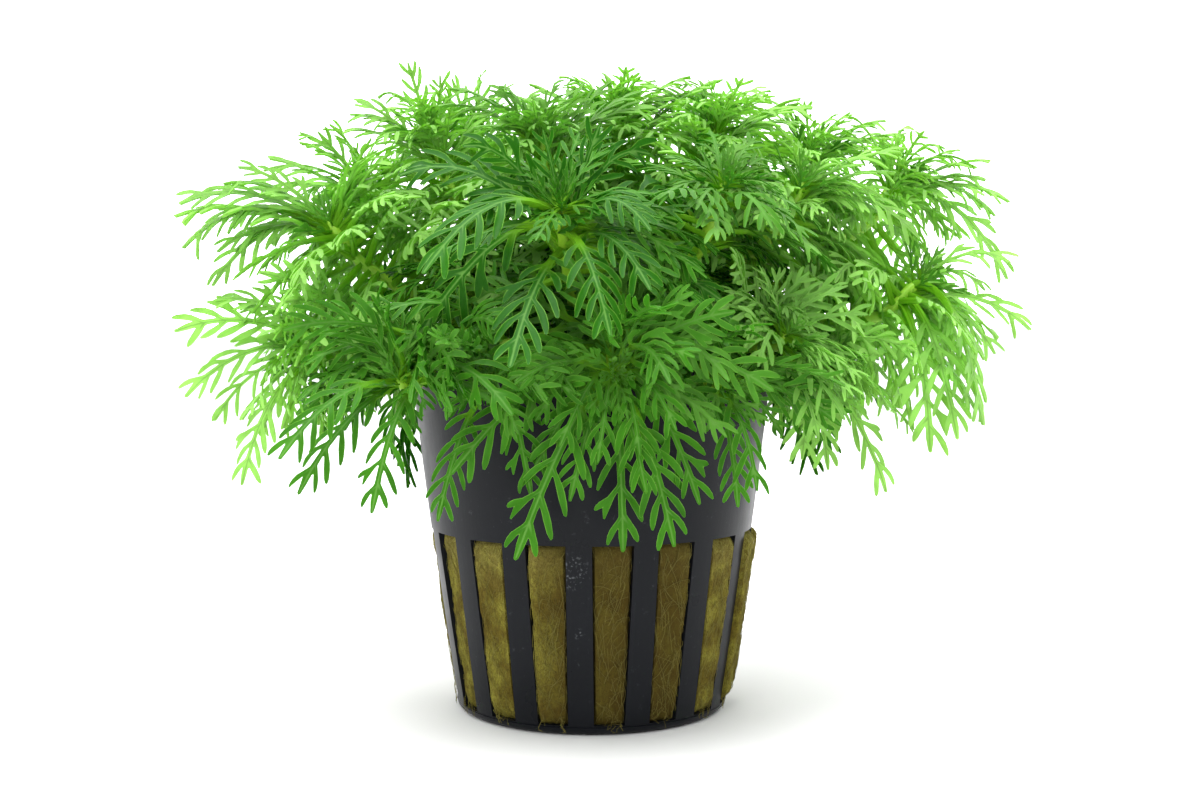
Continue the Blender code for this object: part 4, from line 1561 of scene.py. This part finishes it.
def levelled(way, steepest):
    """A unit direction, turned down to where it climbs no more than a share of its length."""
    if way.z <= steepest:
        return way
    steepest = max(STEEPEST_FALL, steepest)
    level = Vector((way.x, way.y, 0)).normalized() * math.sqrt(1 - steepest * steepest)
    return level + UP * steepest


def enters_pot(place):
    """Whether a place is in the pot's wall or in its rock wool, or closer to them than a leaf may come."""
    reach = math.hypot(place.x, place.y)
    if place.z > POT_HEIGHT or reach > outer_radius(place.z) + LEAF_CLEARANCE:
        return False
    return place.z < WOOL_TOP or reach > outer_radius(place.z) - WALL - LEAF_CLEARANCE


def is_in_the_way(shoot, base, control, tip):
    """Whether a leaf runs into the pot, hides a heart that the photograph shows or hangs below the fringe."""
    route = interpolate_bezier(base, base.lerp(control, 2 / 3), tip.lerp(control, 2 / 3), tip, 6)
    if any(enters_pot(place) for place in route[2:]):
        return True
    pixels = [photo_pixel(place) for place in route[1:]]
    if heart(shoot).y < FRINGE_DEPTH and max(pixel.y for pixel in pixels) > FRINGE_LEVEL:
        return True
    for centre in (heart(other) for other in SHOOTS if other.name in HEARTS_IN_VIEW):
        in_photo = photo_pixel(centre)
        for place, pixel in zip(route[1:], pixels):
            if place.y < centre.y - CLEAR_DEPTH and (pixel - in_photo).length < CLEAR_PIXELS:
                return True
    return False


def grown_leaf(patterns, rng, shoot, route, index, start_turn, taken):
    """One leaf of the spiral round a shoot, or none where it would be in the way all round."""
    share = index / (shoot.leaves - 1)
    base, along = route_point(route, leafy_length(shoot) * (1 - share) ** SPACING_POWER)
    side = square_to(along)
    length = shoot.length * (1 - SHORTENING * share**SHORTENING_POWER) * rng.uniform(*GROWN_SIZES) * MM
    widest = WIDEST_OPENING + OPENING_PER_TILT * min(shoot.tilt, MOST_TILT)
    opening = math.radians(widest - CLOSING * share**CLOSING_POWER + rng.uniform(-OPENING_DRAW, OPENING_DRAW))
    turn = start_turn + index * GOLDEN_TURN + rng.uniform(-TURN_DRAW, TURN_DRAW)
    sag = SAG * rng.uniform(*SAG_DRAW) * (length / SAG_LENGTH)
    room = heart(shoot).z - base.z + leaf_rise(shoot) * min(1.0, length / RISE_LENGTH)
    for _ in range(TURNS_TRIED):
        radial = Matrix.Rotation(turn, 3, along) @ side
        way = levelled(opened(along, radial, opening), STEEPEST_CLIMB * room / length)
        control = base + way * length * BEND_SHARE
        tip = control + (way - UP * sag).normalized() * length * TIP_SHARE
        near_aimed = any(way.dot(other) > CROWDED_COSINE for other in taken)
        crowded = CROWDED_SHARES[0] < share < CROWDED_SHARES[1] and near_aimed
        if not crowded and not is_in_the_way(shoot, base, control, tip):
            break
        turn += NEXT_TURN
    else:
        return []
    pattern = pattern_for(patterns, rng, length / MM)
    droop = math.radians(rng.uniform(*GROWN_DROOP) * (1 - share**3) - INNER_DROOP * share)
    twist = rng.uniform(-GROWN_TWIST, GROWN_TWIST)
    age = min(1.0, shoot.age * rng.uniform(*GROWN_AGES)) * (1 - INNER_FRESHNESS * share)
    width = rng.uniform(*GROWN_WIDTHS)
    facing = along + UP * SKYWARD
    return [Leaf(pattern, place_leaf(pattern, base, control, tip, facing, width, droop, twist), age)]


def nest_leaves(patterns, rng, shoot, route):
    """The youngest leaves: small and close together, the innermost ones upright and curled inwards."""
    leaves = []
    middle, along = route_point(route, 0.0)
    for index in range(YOUNGEST_LEAVES):
        share = index / (YOUNGEST_LEAVES - 1)
        radial = Matrix.Rotation(index * GOLDEN_TURN, 3, along) @ square_to(along)
        way = opened(along, radial, math.radians(between(NEST_OPENING, share)))
        length = between(NEST_LENGTH_MM, share) * rng.uniform(*NEST_SIZES) * MM
        base = middle - along * NEST_DEPTH * (1 - share)
        control = base + way * length * NEST_BEND
        inwards = (way * NEST_SPREAD + along * (NEST_INWARD * share)).normalized()
        tip = control + inwards * length * (1 - NEST_BEND)
        pattern = rng.choice(patterns[3])
        droop = math.radians(rng.uniform(*NEST_DROOP) - NEST_CURL * share)
        age = max(shoot.age, NEST_AGE) * between(NEST_FRESHNESS, share)
        leaves.append(Leaf(pattern, place_leaf(pattern, base, control, tip, along, 1.0, droop, 0.0), age))
    return leaves


def ring_leaves(patterns, rng, shoot, route):
    """Short leaves that fan out round a nest as the photograph shows it."""
    leaves = []
    centre = photo_pixel(heart(shoot))
    for index in range(RING_LEAVES):
        angle = (index + rng.uniform(-RING_TURN_DRAW, RING_TURN_DRAW)) * 2 * math.pi / RING_LEAVES
        reach = RING_PIXELS * rng.uniform(*RING_REACHES)
        tip = (centre.x + reach * math.cos(angle), centre.y + reach * math.sin(angle))
        aim = Aimed(*tip, RING_LENGTH_MM * rng.uniform(*RING_SIZES), 1.0, 1, 0)
        leaves.append(aimed_leaf(patterns, rng, shoot, route, aim)[0])
    return leaves


def make_leaves(settings):
    """One mesh of leaves for each shoot."""
    material = leaf_material(settings)
    patterns = leaf_patterns()
    for number, shoot in enumerate(SHOOTS):
        rng = random.Random(FIRST_SHOOT_SEED + number)
        route = stem_route(shoot)
        aimed = [aimed_leaf(patterns, rng, shoot, route, aim) for aim in aims_of(shoot)]
        leaves = [leaf for leaf, way in aimed]
        taken = [way for leaf, way in aimed]
        start_turn = rng.uniform(0, 2 * math.pi)
        for index in range(shoot.leaves):
            leaves += grown_leaf(patterns, rng, shoot, route, index, start_turn, taken)
        if shoot.name in RINGED_HEARTS:
            leaves += ring_leaves(patterns, rng, shoot, route)
        leaves += nest_leaves(patterns, rng, shoot, route)
        name = "leafy_shoot_" + shoot.name
        whorl = new_object(name, leaf_mesh(name, leaves), material, LEAF_SMOOTH_ANGLE)
        keep(whorl, "leaf", "leaves_" + shoot.name)


# Floor, light and camera

# Each lamp: its name, place, size and the setting of its power, all turned to the middle of the plant
LAMPS = (
    ("overhead", Vector((-0.1, -0.15, 0.9)), 0.7, "overhead_power"),
    ("front", Vector((-0.35, -0.85, 0.45)), 0.45, "front_power"),
)
LAMP_TARGET = Vector((0, 0, 50)) * MM
# The surroundings grow brighter from the front to the back, along Y of a direction of view
FRONT_TO_BACK = (-1.0, 0.9)
# Sine of the height up to which they are white all round, so no band shows over the floor
HORIZON_GLOW_HEIGHT = 0.02


def make_floor(settings):
    """A plain pale floor under the pot."""
    half = settings.floor_size / 2
    corners = [(-half, -half, 0), (half, -half, 0), (half, half, 0), (-half, half, 0)]
    mesh = new_mesh("floor", corners, [(0, 1, 2, 3)])
    material, add = new_material("pale_floor")
    links = {"Base Color": (*settings.floor_colour, 1.0), "Roughness": 0.8}
    finished(material, add, add("ShaderNodeBsdfPrincipled", links).outputs[0])
    new_object("floor", mesh, material)


def make_lamps(settings):
    """Soft square lamps that face the plant."""
    for name, place, size, power in LAMPS:
        lamp = bpy.data.lights.new(name, "AREA")
        lamp.size = size
        lamp.energy = getattr(settings, power)
        item = bpy.data.objects.new(name, lamp)
        item.location = place
        item.rotation_euler = (LAMP_TARGET - place).to_track_quat("-Z", "Y").to_euler()
        bpy.context.scene.collection.objects.link(item)


def make_surroundings(settings):
    """Even white surroundings, brighter behind the plant than in front of it."""
    world = bpy.data.worlds.new("studio")
    world.use_nodes = True
    add = node_adder(world.node_tree)
    way = add("ShaderNodeSeparateXYZ", {0: add("ShaderNodeTexCoord").outputs["Generated"]}).outputs
    front, back = settings.front_strength, settings.back_strength
    strength = scalar_ramp(add, way["Y"], *FRONT_TO_BACK, front, back)
    glow = scalar_ramp(add, way["Z"], HORIZON_GLOW_HEIGHT, HORIZON_GLOW_HEIGHT * 2, back, 0.0, "LINEAR")
    brighter = add("ShaderNodeMath", {0: strength, 1: glow}, operation="MAXIMUM").outputs[0]
    background = world.node_tree.nodes["Background"]
    world.node_tree.links.new(brighter, background.inputs["Strength"])
    background.inputs["Color"].default_value = (*settings.sky_colour, 1.0)
    bpy.context.scene.world = world
    bpy.context.scene.view_settings.view_transform = "Standard"


def make_camera():
    """The camera at the photograph's place and angle."""
    lens = bpy.data.cameras.new("camera")
    lens.sensor_fit = "HORIZONTAL"
    lens.sensor_width = SENSOR_WIDTH_MM
    lens.lens = SENSOR_WIDTH_MM * FOCAL_PIXELS / PHOTO_WIDTH
    lens.clip_start, lens.clip_end = CAMERA_CLIP
    camera = bpy.data.objects.new("camera", lens)
    camera.location = CAMERA_PLACE
    camera.rotation_euler = (math.pi / 2 - CAMERA_PITCH, 0, 0)
    bpy.context.scene.collection.objects.link(camera)
    bpy.context.scene.camera = camera


def make_stage(settings):
    """Floor, soft light and camera."""
    make_floor(settings)
    make_lamps(settings)
    make_surroundings(settings)
    make_camera()


# Settings that a user would change


def number_property(name, description, default, **kind):
    """A number as a setting."""
    return FloatProperty(name=name, description=description, default=default, **kind)


def colour_property(name, description, default):
    """A colour setting."""
    return FloatVectorProperty(
        name=name, description=description, subtype="COLOR", size=3, min=0.0, max=1.0, default=default
    )


class WaterVioletPotSettings(bpy.types.PropertyGroup):
    """Sizes and colours of the net pot."""

    edge_radius: number_property("Edge radius", "Radius of the moulded edges", 0.12 * MM, unit="LENGTH")
    colour: colour_property("Colour", "Colour of the plastic", (0.0034, 0.0039, 0.0048))
    worn_colour: colour_property("Worn colour", "Colour of its duller patches", (0.009, 0.010, 0.013))
    dust_colour: colour_property("Dust colour", "Colour of dust and scuffs", (0.15, 0.16, 0.17))
    roughness: number_property("Roughness", "Roughness of the satin surface", 0.33, subtype="FACTOR")


class WaterVioletWoolSettings(bpy.types.PropertyGroup):
    """Colours of the rock wool and how many loose fibres it has."""

    olive_colour: colour_property("Olive", "Main colour of the fibre", (0.275, 0.250, 0.040))
    brown_colour: colour_property("Brown", "Colour of its brown patches", (0.11, 0.080, 0.012))
    fuzz_colour: colour_property("Fuzz", "Colour of its grey-beige fuzz", (0.34, 0.31, 0.10))
    # Dark spot: the colour round the spot at the front where the wool is darkest.
    dark_spot_colour: colour_property("Damp", "Colour where it is wettest", (0.052, 0.034, 0.006))
    # Painted shade between the strands.
    strand_gap_shade_colour: colour_property("Dark", "Colour between the strands", (0.05, 0.034, 0.007))
    strands_per_slot: IntProperty(
        name="Strands per slot", description="Loose fibres on the wool in each slot", default=115, min=0
    )


class WaterVioletStemSettings(bpy.types.PropertyGroup):
    """Sizes and colours of the stems."""

    foot_radius: number_property("Foot radius", "Radius at the foot", 1.05 * MM, unit="LENGTH")
    neck_radius: number_property("Neck radius", "Radius under the heart", 0.8 * MM, unit="LENGTH")
    colour: colour_property("Colour", "Yellow-green of the stalk", (0.32, 0.55, 0.03))
    green_colour: colour_property("Green", "Greener streaks", (0.18, 0.44, 0.02))


class WaterVioletLeafSettings(bpy.types.PropertyGroup):
    """Colours of the leaves."""

    # The young, grown and old colours also paint light and shade, by the ages set for the shoots.
    young_colour: colour_property("Young", "Colour of fresh leaves", (0.43, 0.78, 0.19))
    middle_colour: colour_property("Grown", "Colour of grown leaves", (0.066, 0.265, 0.014))
    old_colour: colour_property("Old", "Colour of full-grown leaves", (0.019, 0.128, 0.003))
    shade_colour: colour_property("Shade", "Colour of darker patches", (0.010, 0.070, 0.002))
    # Bloom: pale specks, partly a powdery tone and partly painted sparkle.
    bloom_and_sparkle_colour: colour_property("Bloom", "Colour of the fine powdery bloom", (0.10, 0.34, 0.05))
    midrib_colour: colour_property("Midrib", "Colour of midribs", (0.21, 0.48, 0.09))
    # Margin: painted highlight along the leaf edges.
    margin_highlight_colour: colour_property("Margin", "Colour of margins", (0.23, 0.54, 0.06))
    stalk_colour: colour_property("Stalk", "Colour of leaf stalks", (0.18, 0.46, 0.016))
    through_young: colour_property("Young, backlit", "Light through fresh leaves", (0.56, 0.90, 0.19))
    through_old: colour_property("Old, backlit", "Light through old leaves", (0.080, 0.40, 0.006))
    see_through: number_property("Translucency", "Share of light that comes through", 0.45, subtype="FACTOR")


class WaterVioletStageSettings(bpy.types.PropertyGroup):
    """Floor and light."""

    floor_size: number_property("Floor size", "Side of the floor", 240.0, unit="LENGTH")
    floor_colour: colour_property("Floor", "Colour of the floor", (0.80, 0.80, 0.80))
    overhead_power: number_property("Overhead", "Power of the lamp overhead", 12.0, unit="POWER")
    front_power: number_property("Front lamp", "Power of the front lamp", 2.7, unit="POWER")
    sky_colour: colour_property("Surroundings", "Colour of the surroundings", (1.0, 1.0, 1.0))
    front_strength: number_property("Front", "Brightness on the camera's side", 0.45)
    back_strength: number_property("Back", "Brightness behind the plant", 2.7)


# Operators


class WATERVIOLET_OT_net_pot(bpy.types.Operator):
    """Build the slotted net pot"""

    bl_idname = "water_violet.net_pot"
    bl_label = "Net Pot"

    def execute(self, context):
        make_pot(context.scene.water_violet_pot)
        return {"FINISHED"}


class WATERVIOLET_OT_rock_wool(bpy.types.Operator):
    """Build the rock wool plug and its loose fibres"""

    bl_idname = "water_violet.rock_wool"
    bl_label = "Rock Wool"

    def execute(self, context):
        make_wool(context.scene.water_violet_wool)
        return {"FINISHED"}


class WATERVIOLET_OT_stems(bpy.types.Operator):
    """Build the stem of every shoot"""

    bl_idname = "water_violet.stems"
    bl_label = "Stems"

    def execute(self, context):
        make_stems(context.scene.water_violet_stem)
        return {"FINISHED"}


class WATERVIOLET_OT_leaves(bpy.types.Operator):
    """Build the leaves of every shoot"""

    bl_idname = "water_violet.leaves"
    bl_label = "Leaves"

    def execute(self, context):
        make_leaves(context.scene.water_violet_leaf)
        return {"FINISHED"}


class WATERVIOLET_OT_stage(bpy.types.Operator):
    """Build the floor, the light and the camera"""

    bl_idname = "water_violet.stage"
    bl_label = "Stage"

    def execute(self, context):
        make_stage(context.scene.water_violet_stage)
        return {"FINISHED"}


class WATERVIOLET_PT_panel(bpy.types.Panel):
    """Lists the pieces of the water violet"""

    bl_label = "Water Violet"
    bl_idname = "WATERVIOLET_PT_panel"
    bl_space_type = "VIEW_3D"
    bl_region_type = "UI"
    bl_category = "Water Violet"

    def draw(self, context):
        for operator in OPERATORS:
            self.layout.operator(operator.bl_idname)


OPERATORS = (
    WATERVIOLET_OT_stage,
    WATERVIOLET_OT_net_pot,
    WATERVIOLET_OT_rock_wool,
    WATERVIOLET_OT_stems,
    WATERVIOLET_OT_leaves,
)
SETTINGS = {
    "water_violet_pot": WaterVioletPotSettings,
    "water_violet_wool": WaterVioletWoolSettings,
    "water_violet_stem": WaterVioletStemSettings,
    "water_violet_leaf": WaterVioletLeafSettings,
    "water_violet_stage": WaterVioletStageSettings,
}


def register():
    """Register the settings, the operators and the panel."""
    for name, group in SETTINGS.items():
        bpy.utils.register_class(group)
        setattr(bpy.types.Scene, name, PointerProperty(type=group))
    for operator in OPERATORS:
        bpy.utils.register_class(operator)
    bpy.utils.register_class(WATERVIOLET_PT_panel)


def unregister():
    """Take everything back out."""
    bpy.utils.unregister_class(WATERVIOLET_PT_panel)
    for operator in reversed(OPERATORS):
        bpy.utils.unregister_class(operator)
    for name, group in reversed(list(SETTINGS.items())):
        delattr(bpy.types.Scene, name)
        bpy.utils.unregister_class(group)


def main():
    """Build every piece."""
    register()
    bpy.ops.water_violet.stage()
    bpy.ops.water_violet.net_pot()
    bpy.ops.water_violet.rock_wool()
    bpy.ops.water_violet.stems()
    bpy.ops.water_violet.leaves()


if __name__ == "__main__":
    main()
